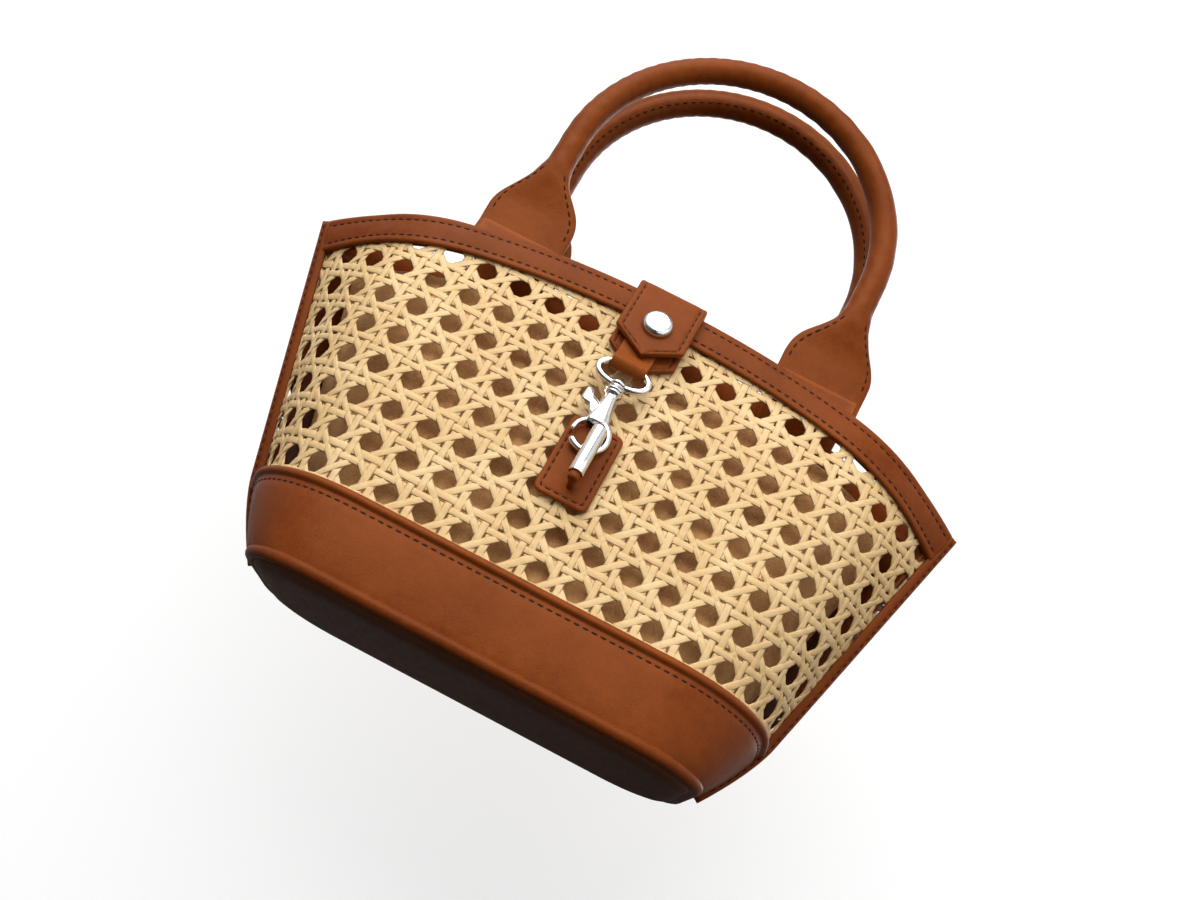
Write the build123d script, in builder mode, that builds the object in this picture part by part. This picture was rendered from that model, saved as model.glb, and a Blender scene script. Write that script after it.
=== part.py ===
"""Basket box bag: woven cane panels trimmed in leather, with two rolled handles, a closure
strap and a swivel clasp clipped to a tube catch.

Millimetres. X is the width, the front faces -Y and Z is up. The origin is at the middle of the
underside of the padded base, which is the plane the bag stands on.
"""

from build123d import *

import os
from math import atan, cos, pi, radians, sin


# ---------------------------------------------------------------- body sizes
BASE_HALF_LENGTH = 89.5
BASE_HALF_DEPTH = 51.0
BASE_CORNER = 30.0
SHOULDER_HEIGHT = 35.0
SHOULDER_TUCK = 10.6  # how much the ends round in under the shoulder
SEAM_AT_GROUND = 98.5
SEAM_SLOPE = 0.3
MOUTH_HALF_DEPTH = 16.7
SIDE_BOW = 3.6  # how far the front swells past a straight slope
RIM_HALF_WIDTH = 140.5
RIM_END_HEIGHT = 143.5
RIM_RISE = 27.5  # the rim's middle stands this much above its ends
RIM_CURVE_POWER = 2.15
TAPER_HEIGHT = 173.0  # the faces' lean is set out up to here
BODY_FLOOR = 3.0
LOFT_TOP = 184.0
FLANK_ANGLES = ((3.0, 3.0), (40.0, 19.0), (80.0, 28.0), (120.0, 46.0), (150.0, 63.0), (176.0, 68.0))
CORNER_RADII = ((3.0, 30.0), (35.0, 48.0), (80.0, 50.0), (120.0, 58.0), (150.0, 74.0), (176.0, 80.0))

# ---------------------------------------------------------------- sheet thicknesses
CANE = 1.2
LEATHER = 1.6
LAYERED_LEATHER = 2.6  # patch and under-tab, two layers
STRAP_THICKNESS = 3.0
TAB_THICKNESS = 3.2

# ---------------------------------------------------------------- bands, binding and piping
RIM_BAND_HEIGHT = 14.0
LOWER_BAND_HEIGHT = 37.5
LOWER_BAND_DROP = 6.0  # its top edge is this much lower at the seams
WELT_HEIGHT = 3.4
WELT_SWELL = 1.0
BINDING_WIDTH = 4.6
BINDING_HALF_THICKNESS = 2.2
BINDING_OVERLAP = 0.8
BINDING_PROUD = 2.5
SEAM_GAP = 0.05
PIPING_RADIUS = 2.4
PIPING_HEIGHT = 4.8
BASE_PANEL_HEIGHT = 7.0
BASE_PANEL_INSET = 1.2
BASE_EDGE_RADIUS = 4.0
BASE_BOARD = 2.0
BASE_BOARD_INSET = 3.2

# ---------------------------------------------------------------- inner pouch
POUCH_WALL = 1.5
POUCH_SIDE_GAP = 6.0
POUCH_END_GAP = 14.0
POUCH_BELOW_RIM = 27.0

# ---------------------------------------------------------------- handles
HANDLE_HALF_SPAN = 69.0
HANDLE_RADIUS = 5.6
HANDLE_ARCH_HEIGHT = 222.0  # centre of the arch
TUBE_START = 200.0
TUBE_TAPER_START = 180.0
TAB_CENTRE = 67.5
TAB_HALF_WIDTH = 17.2
TAB_FLARE = ((178.0, 16.4), (184.0, 13.9), (188.5, 11.2), (192.0, 8.9), (195.5, 7.4), (200.0, 6.4), (206.0, 5.8))
TAB_ROOT_BOTTOM = 153.0
TAB_ROOT_HALF_WIDTH = 16.4
FOLD_HEIGHT = 172.2
FOLD_CLEARANCE = 0.4

# ---------------------------------------------------------------- closure strap and snap
STRAP_HALF_WIDTH = 14.7
STRAP_TIP_HEIGHT = 138.6
STRAP_CORNER_HEIGHT = 147.7
STRAP_TIP_OFFSET = 6.8  # middle of its thickness from the cane
STRAP_RIM_OFFSET = 4.9
STRAP_OVER_RIM = 1.9
STRAP_BEND = 4.0
STRAP_TAIL_HEIGHT = 160.0
UNDER_TAB_HALF_WIDTH = 14.2
UNDER_TAB_TIP_HEIGHT = 132.0
UNDER_TAB_CORNER_HEIGHT = 141.0
SNAP_HEIGHT = 153.0
CAP_RADIUS = 6.2
CAP_RISE = 2.7
SNAP_POST_RADIUS = 1.4
SNAP_DISC_RADIUS = 4.4
SNAP_DISC_THICKNESS = 1.0
SNAP_NUB_RADIUS = 2.1
SNAP_FIT = 0.1

# ---------------------------------------------------------------- clasp
CLASP_X = -1.8
BAR_HEIGHT = 132.3
BAR_OFFSET = 6.4
HOOK_HEIGHT = 98.0
HOOK_OFFSET = 5.1
WIRE_RADIUS = 1.5
EYE_HALF_WIDTH = 10.2
EYE_SHOULDER = 3.2
EYE_FOOT = 10.2
STEM_RADIUS = 1.5
STEM_HEAD_RADIUS = 2.0
STEM_HEAD = 1.2
SWIVEL_CLEARANCE = 0.1
COLLAR_RADIUS = 3.6
COLLAR_TOP = 12.6
COLLAR_LENGTH = 2.8
BODY_LENGTH = 14.5
BODY_HALF_WIDTH = 4.9
BODY_THICKNESS = 4.4
HOOK_RADIUS = 6.9
HOOK_WIRE = 1.5
CLAW_END = 214.0
GATE_START = 112.0
GATE_END = 188.0
LEVER_THICKNESS = 2.4
LEVER_CLEARANCE = 0.3
PIN_RADIUS = 0.8
PIN_AT = (-1.6, -23.4)
PIN_FIT = 0.05
BOSS_RADIUS = 2.3
SPRING_RADIUS = 1.2
SPRING_WIRE = 0.16
SPRING_ROOM = 1.7
THUMB_TAB = (-8.6, -19.4)
LOOP_HALF_WIDTH = 7.1
LOOP_WALL = 1.0
LOOP_CLEARANCE = 0.95
LOOP_TOP = 145.0
LOOP_KNEE = 6.5
LOOP_SHIFT = 0.2
LAYER_GAP = 0.05

# ---------------------------------------------------------------- catch on the front
PATCH_X = -0.3
PATCH_HALF_WIDTH = 10.8
PATCH_BOTTOM = 69.5
PATCH_TOP = 104.5
PATCH_CORNER = 3.0
TUBE_X = 1.0
TUBE_RADIUS = 3.0
TUBE_BORE = 2.3
TUBE_BOTTOM = 77.8
TUBE_TOP = 98.0
TUBE_OFFSET = 10.4
CATCH_CORD_RADIUS = 1.4
CATCH_BEND = 1.9
CATCH_LEG_GAP = 0.3

RIM_TOP_HEIGHT = RIM_END_HEIGHT + RIM_RISE
REACH = 3 * BASE_HALF_DEPTH


# ---------------------------------------------------------------- shape of the body
def half_length(z):
    """Distance from the middle to the side seam at height z."""
    return SEAM_AT_GROUND + SEAM_SLOPE * z - SHOULDER_TUCK * max(0.0, 1 - z / SHOULDER_HEIGHT) ** 1.6


def half_depth(z):
    """Distance from the middle to the front face at height z."""
    t = z / TAPER_HEIGHT
    straight = BASE_HALF_DEPTH + (MOUTH_HALF_DEPTH - BASE_HALF_DEPTH) * t
    return straight + SIDE_BOW * 4 * t * (1 - t)


def between(z, table):
    """Value at height z, read along straight lines between a table's heights."""
    if z <= table[0][0]:
        return table[0][1]
    for (z0, v0), (z1, v1) in zip(table, table[1:]):
        if z <= z1:
            return v0 + (v1 - v0) * (z - z0) / (z1 - z0)
    return table[-1][1]


def face_tilt(z):
    """Lean of the front face at height z, in radians from upright."""
    return atan((half_depth(z - 1) - half_depth(z + 1)) / 2)


def face_plane(x, z, offset):
    """Plane on the front face: local x along X, local y up the face, local z outward."""
    tilt = face_tilt(z)
    plane = Plane(origin=(x, -half_depth(z), z), x_dir=(1, 0, 0), z_dir=(0, -cos(tilt), sin(tilt)))
    return plane.offset(offset)


def rim_z(x):
    """Height of the rim's top edge above x."""
    return RIM_END_HEIGHT + RIM_RISE * (1 - abs(x / RIM_HALF_WIDTH) ** RIM_CURVE_POWER)


def lower_band_z(x):
    """Height of the lower band's top edge above x."""
    seam = half_length(LOWER_BAND_HEIGHT)
    return LOWER_BAND_HEIGHT - LOWER_BAND_DROP * min(1.5, abs(x / seam) ** 6)


def front_y(z, offset):
    """Y at height z on the front face moved outward by offset."""
    return -half_depth(z) - offset


def outline(z, offset, shorten=0.0):
    """The body's outline at height z moved outward by offset, as a sketch."""
    angle = radians(between(z, FLANK_ANGLES))
    radius = between(z, CORNER_RADII) + offset
    a = half_length(z) - shorten + offset / cos(angle)
    b = half_depth(z) + offset
    radius = min(radius, 0.95 * b / (1 - sin(angle)))
    flank = (b - radius + radius * sin(angle)) / cos(angle)
    end = (a - flank * sin(angle), flank * cos(angle))
    centre = (end[0] - radius * cos(angle), end[1] - radius * sin(angle))
    half_turn = (pi / 2 + angle) / 2
    middle = (centre[0] + radius * cos(half_turn), centre[1] + radius * sin(half_turn))
    with BuildSketch(Plane.XY.offset(z)) as sketch:
        with BuildLine():
            for side in (1, -1):
                Line((-side * centre[0], side * b), (side * centre[0], side * b))
                ThreePointArc(
                    (side * centre[0], side * b),
                    (side * middle[0], side * middle[1]),
                    (side * end[0], side * end[1]),
                )
                Line((side * end[0], side * end[1]), (side * a, 0))
                Line((side * a, 0), (side * end[0], -side * end[1]))
                ThreePointArc(
                    (side * end[0], -side * end[1]),
                    (side * middle[0], -side * middle[1]),
                    (side * centre[0], -side * b),
                )
        make_face()
    return sketch.sketch


def body(offset, shorten=0.0, floor=BODY_FLOOR, top=LOFT_TOP):
    """The body's volume moved outward by offset."""
    levels = (floor, 18, 40, 80, 120, 150, top)
    return loft([outline(z, offset, shorten) for z in levels])


def edge_curve(height, half_span, steps=12):
    """Points (x, height(x)) across the bag."""
    return [(half_span * i / steps, height(half_span * i / steps)) for i in range(-steps, steps + 1)]


def slab(bottom, top):
    """The space between two heights given as functions of x, in front of the seam plane."""
    span = RIM_HALF_WIDTH + 12
    with BuildPart() as space:
        with BuildSketch(Plane.XZ.offset(SEAM_GAP)):
            with BuildLine():
                low = Spline(*edge_curve(bottom, span))
                high = Spline(*edge_curve(top, span))
                Line(low @ 0, high @ 0)
                Line(low @ 1, high @ 1)
            make_face()
        extrude(amount=REACH)
    return space.part


def prism(*points):
    """A slab in front of the seam plane with the given outline in X and Z."""
    with BuildPart() as space:
        with BuildSketch(Plane.XZ.offset(SEAM_GAP)):
            with BuildLine():
                Polyline(*points, close=True)
            make_face()
        extrude(amount=REACH)
    return space.part


def report(piece, label):
    """Name, check and write one part."""
    piece.label = label
    solids = len(piece.solids())
    if solids != 1:
        print("CHECK", label, "has", solids, "solids")
    export_step(piece, f"parts/{label}.step")


os.makedirs("parts", exist_ok=True)

cane_skin = body(0)
cane_inside = body(-CANE, floor=0.5, top=187)
leather_skin = body(LEATHER, floor=2, top=186)
rim_inside = body(-CANE - LEATHER, floor=0.5, top=187)
root_inside = body(-CANE - LEATHER - TAB_THICKNESS, floor=0.5, top=187)
welt_skin = body(LEATHER + WELT_SWELL, floor=2, top=186)
layered_skin = body(LAYERED_LEATHER, floor=2, top=186)

# ---------------------------------------------------------------- base
with BuildPart() as base_piping:
    run = BASE_HALF_LENGTH - BASE_CORNER
    rise = BASE_HALF_DEPTH - BASE_CORNER
    bulge = BASE_CORNER * cos(pi / 4)
    with BuildLine(Plane.XY.offset(PIPING_HEIGHT)) as ring:
        Line((0, -BASE_HALF_DEPTH), (run, -BASE_HALF_DEPTH))
        ThreePointArc((run, -BASE_HALF_DEPTH), (run + bulge, -rise - bulge), (BASE_HALF_LENGTH, -rise))
        Line((BASE_HALF_LENGTH, -rise), (BASE_HALF_LENGTH, rise))
        ThreePointArc((BASE_HALF_LENGTH, rise), (run + bulge, rise + bulge), (run, BASE_HALF_DEPTH))
        Line((run, BASE_HALF_DEPTH), (0, BASE_HALF_DEPTH))
    with BuildSketch(Plane(origin=(0, -BASE_HALF_DEPTH, PIPING_HEIGHT), z_dir=(1, 0, 0))):
        Circle(PIPING_RADIUS)
    sweep(path=ring.line)
    mirror(about=Plane.YZ)

with BuildPart() as base_panel:
    with BuildSketch():
        RectangleRounded(
            2 * (BASE_HALF_LENGTH - BASE_PANEL_INSET),
            2 * (BASE_HALF_DEPTH - BASE_PANEL_INSET),
            BASE_CORNER - BASE_PANEL_INSET,
        )
    extrude(amount=BASE_PANEL_HEIGHT)
    fillet(base_panel.faces().sort_by(Axis.Z)[0].edges(), BASE_EDGE_RADIUS)
    add(base_piping.part, mode=Mode.SUBTRACT)

with BuildPart() as base_board:
    with BuildSketch(Plane.XY.offset(BASE_PANEL_HEIGHT)):
        RectangleRounded(
            2 * (BASE_HALF_LENGTH - BASE_BOARD_INSET),
            2 * (BASE_HALF_DEPTH - BASE_BOARD_INSET),
            BASE_CORNER - BASE_BOARD_INSET,
        )
    extrude(amount=BASE_BOARD)

# ---------------------------------------------------------------- cane panels
snap_plane = face_plane(0, SNAP_HEIGHT, 0)
panel_shape = cane_skin & slab(lambda x: PIPING_HEIGHT, lambda x: rim_z(x) - LEATHER)
with BuildPart() as front_cane_panel:
    add(panel_shape)
    add(cane_inside, mode=Mode.SUBTRACT)
    add(base_piping.part, mode=Mode.SUBTRACT)
    add(base_panel.part, mode=Mode.SUBTRACT)
    with BuildSketch(snap_plane.offset(-3 * CANE)):
        Circle(SNAP_POST_RADIUS)
    extrude(amount=6 * CANE, mode=Mode.SUBTRACT)

with BuildPart() as rear_cane_panel:
    add(panel_shape)
    add(cane_inside, mode=Mode.SUBTRACT)
    add(base_piping.part, mode=Mode.SUBTRACT)
    add(base_panel.part, mode=Mode.SUBTRACT)
rear_panel = mirror(rear_cane_panel.part, about=Plane.XZ)

# ---------------------------------------------------------------- side bindings
binding_levels = [PIPING_HEIGHT + 0.5 + i * (RIM_END_HEIGHT + BINDING_PROUD - PIPING_HEIGHT - 0.5) / 10
                  for i in range(11)]
with BuildPart() as right_side_binding:
    with BuildSketch(Plane.XZ):
        with BuildLine():
            near = Spline(*[(half_length(z) - BINDING_OVERLAP, z) for z in binding_levels])
            far = Spline(*[(half_length(z) + BINDING_WIDTH, z) for z in binding_levels])
            Line(near @ 0, far @ 0)
            Line(near @ 1, far @ 1)
        make_face()
    extrude(amount=BINDING_HALF_THICKNESS, both=True)
    add(cane_skin, mode=Mode.SUBTRACT)
    add(base_piping.part, mode=Mode.SUBTRACT)
right_binding = right_side_binding.part
left_binding = mirror(right_binding, about=Plane.YZ)

# ---------------------------------------------------------------- leather bands
with BuildPart() as front_lower_band:
    add(welt_skin & slab(lambda x: lower_band_z(x) - WELT_HEIGHT, lower_band_z))
    add(leather_skin & slab(lambda x: PIPING_HEIGHT, lower_band_z))
    add(cane_skin, mode=Mode.SUBTRACT)
    add(base_piping.part, mode=Mode.SUBTRACT)
    add(base_panel.part, mode=Mode.SUBTRACT)
    add(right_binding, mode=Mode.SUBTRACT)
    add(left_binding, mode=Mode.SUBTRACT)
rear_lower_band = mirror(front_lower_band.part, about=Plane.XZ)

with BuildPart() as front_rim_band:
    add(leather_skin & slab(lambda x: rim_z(x) - RIM_BAND_HEIGHT, rim_z))
    add(rim_inside, mode=Mode.SUBTRACT)
    add(panel_shape - cane_inside, mode=Mode.SUBTRACT)
    add(right_binding, mode=Mode.SUBTRACT)
    add(left_binding, mode=Mode.SUBTRACT)
rear_rim_band = mirror(front_rim_band.part, about=Plane.XZ)

# ---------------------------------------------------------------- inner pouch
pouch_floor = BASE_PANEL_HEIGHT + BASE_BOARD
with BuildPart() as inner_pouch:
    add(body(-CANE - POUCH_SIDE_GAP, POUCH_END_GAP, pouch_floor))
    add(
        body(-CANE - POUCH_SIDE_GAP - POUCH_WALL, POUCH_END_GAP, pouch_floor + POUCH_WALL, LOFT_TOP + 2),
        mode=Mode.SUBTRACT,
    )
    with BuildSketch(Plane.XZ.offset(-REACH)):
        with BuildLine():
            span = RIM_HALF_WIDTH + 12
            hem = Spline(*edge_curve(lambda x: rim_z(x) - POUCH_BELOW_RIM, span))
            Line(hem @ 0, (-span, LOFT_TOP + 10))
            Line((-span, LOFT_TOP + 10), (span, LOFT_TOP + 10))
            Line((span, LOFT_TOP + 10), hem @ 1)
        make_face()
    extrude(amount=2 * REACH, mode=Mode.SUBTRACT)

# ---------------------------------------------------------------- handles
root_y = half_depth(FOLD_HEIGHT) - CANE - LEATHER - TAB_THICKNESS / 2


def tab_root(centre):
    """The end of a handle tab sewn inside the front rim band."""
    low, high = centre - TAB_ROOT_HALF_WIDTH, centre + TAB_ROOT_HALF_WIDTH
    top = FOLD_HEIGHT - TAB_THICKNESS / 2 - FOLD_CLEARANCE
    block = prism((low, TAB_ROOT_BOTTOM), (high, TAB_ROOT_BOTTOM), (high, top), (low, top))
    return (rim_inside & block) - root_inside


def tab_outline(side):
    """Points of the flared tab from the fold up to the tube."""
    points = [(TAB_HALF_WIDTH, FOLD_HEIGHT)] + [(x, z) for z, x in TAB_FLARE]
    mirrored = [(-x, z) for x, z in reversed(points)]
    return [(side * TAB_CENTRE + x, z) for x, z in points + mirrored]


with BuildPart() as front_handle:
    with BuildSketch(Plane.XZ.offset(root_y)):
        for side in (1, -1):
            with BuildLine():
                Polyline(*tab_outline(side), close=True)
            make_face()
    extrude(amount=TAB_THICKNESS / 2, both=True)
    fold_ends = front_handle.edges().filter_by(Axis.X).group_by(Axis.Z)[0]
    fillet(fold_ends, TAB_THICKNESS / 2 - 0.05)
    with BuildLine(Plane.XZ.offset(root_y)) as arch:
        Line((-HANDLE_HALF_SPAN, TUBE_START), (-HANDLE_HALF_SPAN, HANDLE_ARCH_HEIGHT))
        ThreePointArc(
            (-HANDLE_HALF_SPAN, HANDLE_ARCH_HEIGHT),
            (0, HANDLE_ARCH_HEIGHT + HANDLE_HALF_SPAN),
            (HANDLE_HALF_SPAN, HANDLE_ARCH_HEIGHT),
        )
        Line((HANDLE_HALF_SPAN, HANDLE_ARCH_HEIGHT), (HANDLE_HALF_SPAN, TUBE_START))
    with BuildSketch(Plane.XY.offset(TUBE_START)):
        with Locations((-HANDLE_HALF_SPAN, -root_y)):
            Circle(HANDLE_RADIUS)
    sweep(path=arch.line)
    for side in (1, -1):
        with Locations((side * HANDLE_HALF_SPAN, -root_y, (TUBE_START + TUBE_TAPER_START) / 2)):
            Cone(TAB_THICKNESS / 2, HANDLE_RADIUS, TUBE_START - TUBE_TAPER_START)
rear_handle = mirror(front_handle.part, about=Plane.XZ)

# ---------------------------------------------------------------- closure strap and under-tab
rear_inner_y = half_depth(RIM_TOP_HEIGHT) - CANE - LEATHER - STRAP_THICKNESS / 2 - 0.3
over_z = RIM_TOP_HEIGHT + STRAP_OVER_RIM
tail_y = half_depth(STRAP_TAIL_HEIGHT) - CANE - LEATHER - STRAP_THICKNESS / 2 - 0.15


def strap_y(z):
    """Y of the middle of the strap's front leg at height z."""
    share = (z - STRAP_TIP_HEIGHT) / (RIM_TOP_HEIGHT - STRAP_TIP_HEIGHT)
    return front_y(z, STRAP_TIP_OFFSET + (STRAP_RIM_OFFSET - STRAP_TIP_OFFSET) * share)


with BuildPart() as closure_strap:
    with BuildLine(Plane.YZ) as strap_path:
        FilletPolyline(
            (strap_y(STRAP_TIP_HEIGHT - 2), STRAP_TIP_HEIGHT - 2),
            (strap_y(SNAP_HEIGHT), SNAP_HEIGHT),
            (strap_y(RIM_TOP_HEIGHT), over_z),
            (rear_inner_y - 1.0, over_z),
            (rear_inner_y + 0.4, RIM_TOP_HEIGHT - 7),
            (tail_y, STRAP_TAIL_HEIGHT),
            radius=STRAP_BEND / 2,
        )
    with BuildSketch(Plane(origin=strap_path.line @ 0, x_dir=(1, 0, 0), z_dir=strap_path.line % 0)):
        Rectangle(2 * STRAP_HALF_WIDTH, STRAP_THICKNESS)
    sweep(path=strap_path.line)
    add(
        prism(
            (-STRAP_HALF_WIDTH - 1, STRAP_TIP_HEIGHT - 9),
            (STRAP_HALF_WIDTH + 1, STRAP_TIP_HEIGHT - 9),
            (STRAP_HALF_WIDTH + 1, STRAP_CORNER_HEIGHT + 0.6),
            (0, STRAP_TIP_HEIGHT),
            (-STRAP_HALF_WIDTH - 1, STRAP_CORNER_HEIGHT + 0.6),
        ),
        mode=Mode.SUBTRACT,
    )
    strap_inner = -strap_y(SNAP_HEIGHT) - half_depth(SNAP_HEIGHT) - STRAP_THICKNESS / 2
    with BuildSketch(snap_plane.offset(LAYERED_LEATHER)):
        Circle(SNAP_POST_RADIUS)
    extrude(amount=12, mode=Mode.SUBTRACT)
    with BuildSketch(snap_plane.offset(LAYERED_LEATHER)):
        Circle(SNAP_DISC_RADIUS)
    extrude(amount=strap_inner + 1.2 - LAYERED_LEATHER, mode=Mode.SUBTRACT)

with BuildPart() as under_tab:
    add(
        layered_skin
        & prism(
            (UNDER_TAB_HALF_WIDTH, RIM_TOP_HEIGHT - RIM_BAND_HEIGHT - 0.2),
            (-UNDER_TAB_HALF_WIDTH, RIM_TOP_HEIGHT - RIM_BAND_HEIGHT - 0.2),
            (-UNDER_TAB_HALF_WIDTH, UNDER_TAB_CORNER_HEIGHT),
            (0, UNDER_TAB_TIP_HEIGHT),
            (UNDER_TAB_HALF_WIDTH, UNDER_TAB_CORNER_HEIGHT),
        )
    )
    add(cane_skin, mode=Mode.SUBTRACT)
    with BuildSketch(snap_plane.offset(-3)):
        Circle(SNAP_POST_RADIUS)
    extrude(amount=9, mode=Mode.SUBTRACT)

# ---------------------------------------------------------------- snap
strap_outer = strap_inner + STRAP_THICKNESS
socket_floor = strap_inner + 1.1
with BuildPart() as snap_cap:
    with BuildSketch(snap_plane.offset(strap_outer + 0.15)):
        Circle(CAP_RADIUS)
    extrude(amount=CAP_RISE)
    outward = Axis((0, 0, 0), tuple(snap_plane.z_dir))
    fillet(snap_cap.faces().sort_by(outward)[-1].edges(), CAP_RISE * 0.9)
    with BuildSketch(snap_plane.offset(strap_outer + 0.5)):
        Circle(SNAP_POST_RADIUS - 0.02)
    extrude(amount=socket_floor - strap_outer - 0.5)

with BuildPart() as snap_socket:
    with BuildSketch(snap_plane.offset(LAYERED_LEATHER + 0.3)):
        Circle(SNAP_DISC_RADIUS - SNAP_FIT)
        Circle(SNAP_NUB_RADIUS + SNAP_FIT, mode=Mode.SUBTRACT)
    extrude(amount=socket_floor - LAYERED_LEATHER - 0.3)

with BuildPart() as snap_stud:
    with BuildSketch(snap_plane.offset(LAYERED_LEATHER)):
        Circle(SNAP_NUB_RADIUS)
    extrude(amount=socket_floor - LAYERED_LEATHER - 0.3)
    with BuildSketch(snap_plane.offset(-CANE - SNAP_DISC_THICKNESS)):
        Circle(SNAP_POST_RADIUS - 0.02)
    extrude(amount=LAYERED_LEATHER + CANE + SNAP_DISC_THICKNESS)

with BuildPart() as snap_washer:
    with BuildSketch(snap_plane.offset(-CANE - 0.15 - SNAP_DISC_THICKNESS)):
        Circle(SNAP_DISC_RADIUS)
        Circle(SNAP_POST_RADIUS, mode=Mode.SUBTRACT)
    extrude(amount=SNAP_DISC_THICKNESS)

# ---------------------------------------------------------------- clasp
bar_y = front_y(BAR_HEIGHT, BAR_OFFSET)
hook_y = front_y(HOOK_HEIGHT, HOOK_OFFSET)
clasp_up = Vector(0, bar_y - hook_y, BAR_HEIGHT - HOOK_HEIGHT).normalized()
clasp_plane = Plane(
    origin=(CLASP_X, bar_y, BAR_HEIGHT),
    x_dir=(1, 0, 0),
    z_dir=Vector(1, 0, 0).cross(clasp_up),
)
hook_centre = -((bar_y - hook_y) ** 2 + (BAR_HEIGHT - HOOK_HEIGHT) ** 2) ** 0.5


def across(v):
    """Plane square to the clasp's length, v below the bar."""
    return Plane(origin=clasp_plane.from_local_coords((0, -v, 0)), x_dir=(1, 0, 0), z_dir=-clasp_up)


with BuildPart() as clasp_eye:
    with BuildLine(clasp_plane) as eye_path:
        FilletPolyline(
            (0, 0),
            (EYE_HALF_WIDTH, 0),
            (EYE_HALF_WIDTH, -EYE_SHOULDER),
            (3.4, -EYE_FOOT),
            (0, -EYE_FOOT),
            radius=1.55,
        )
    with BuildSketch(Plane(origin=clasp_plane.origin, z_dir=(1, 0, 0))):
        Circle(WIRE_RADIUS)
    sweep(path=eye_path.line)
    mirror(about=Plane.YZ.offset(CLASP_X))
    stem_end = COLLAR_TOP + 5.2
    with BuildSketch(across(EYE_FOOT)):
        Circle(STEM_RADIUS)
    extrude(amount=stem_end - EYE_FOOT)
    with BuildSketch(across(stem_end - STEM_HEAD)):
        Circle(STEM_HEAD_RADIUS)
    extrude(amount=STEM_HEAD)

body_end = COLLAR_TOP + COLLAR_LENGTH + BODY_LENGTH
with BuildPart() as clasp_body:
    with BuildSketch(across(COLLAR_TOP)):
        Circle(COLLAR_RADIUS)
    extrude(amount=COLLAR_LENGTH)
    with BuildSketch(clasp_plane) as plate:
        with BuildLine():
            Polyline(
                (-3.0, -COLLAR_TOP - 1),
                (3.0, -COLLAR_TOP - 1),
                (3.4, -COLLAR_TOP - 6),
                (BODY_HALF_WIDTH + 1.4, hook_centre + 7.4),
                (BODY_HALF_WIDTH, hook_centre + 4.0),
                (-BODY_HALF_WIDTH, hook_centre + 6.0),
                (-3.6, -COLLAR_TOP - 6),
                close=True,
            )
        make_face()
        with Locations((0, hook_centre)):
            Circle(HOOK_RADIUS - HOOK_WIRE, mode=Mode.SUBTRACT)
    extrude(amount=BODY_THICKNESS / 2, both=True)
    with BuildSketch(clasp_plane) as claw:
        with Locations((0, hook_centre)):
            Circle(HOOK_RADIUS + HOOK_WIRE)
            Circle(HOOK_RADIUS - HOOK_WIRE, mode=Mode.SUBTRACT)
        with BuildLine():
            far = 3 * HOOK_RADIUS
            corner = (far * cos(radians(CLAW_END)), hook_centre + far * sin(radians(CLAW_END)))
            Polyline((0, hook_centre), corner, (-far, hook_centre + far), (0, hook_centre + far), close=True)
        make_face(mode=Mode.SUBTRACT)
    extrude(amount=HOOK_WIRE, both=True)
    slot = LEVER_THICKNESS / 2 + LEVER_CLEARANCE
    with BuildSketch(clasp_plane):
        with BuildLine():
            Polyline(
                (-14, -COLLAR_TOP - 6.2),
                (0.9, -COLLAR_TOP - 6.2),
                (1.2, PIN_AT[1] - 3),
                (-1.0, hook_centre + 4),
                (-14, hook_centre + 2),
                close=True,
            )
        make_face()
    extrude(amount=slot, both=True, mode=Mode.SUBTRACT)
    with BuildSketch(across(COLLAR_TOP - 1)):
        Circle(STEM_RADIUS + SWIVEL_CLEARANCE)
    extrude(amount=3.5, mode=Mode.SUBTRACT)
    with BuildSketch(across(stem_end - STEM_HEAD - 0.2)):
        Circle(STEM_HEAD_RADIUS + SWIVEL_CLEARANCE)
    extrude(amount=STEM_HEAD + 0.4, mode=Mode.SUBTRACT)
    with BuildSketch(across(COLLAR_TOP)):
        Circle(STEM_RADIUS + SWIVEL_CLEARANCE)
    extrude(amount=stem_end - COLLAR_TOP, mode=Mode.SUBTRACT)
    with BuildSketch(clasp_plane):
        with Locations(PIN_AT):
            Circle(PIN_RADIUS)
    extrude(amount=BODY_THICKNESS, both=True, mode=Mode.SUBTRACT)

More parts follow.
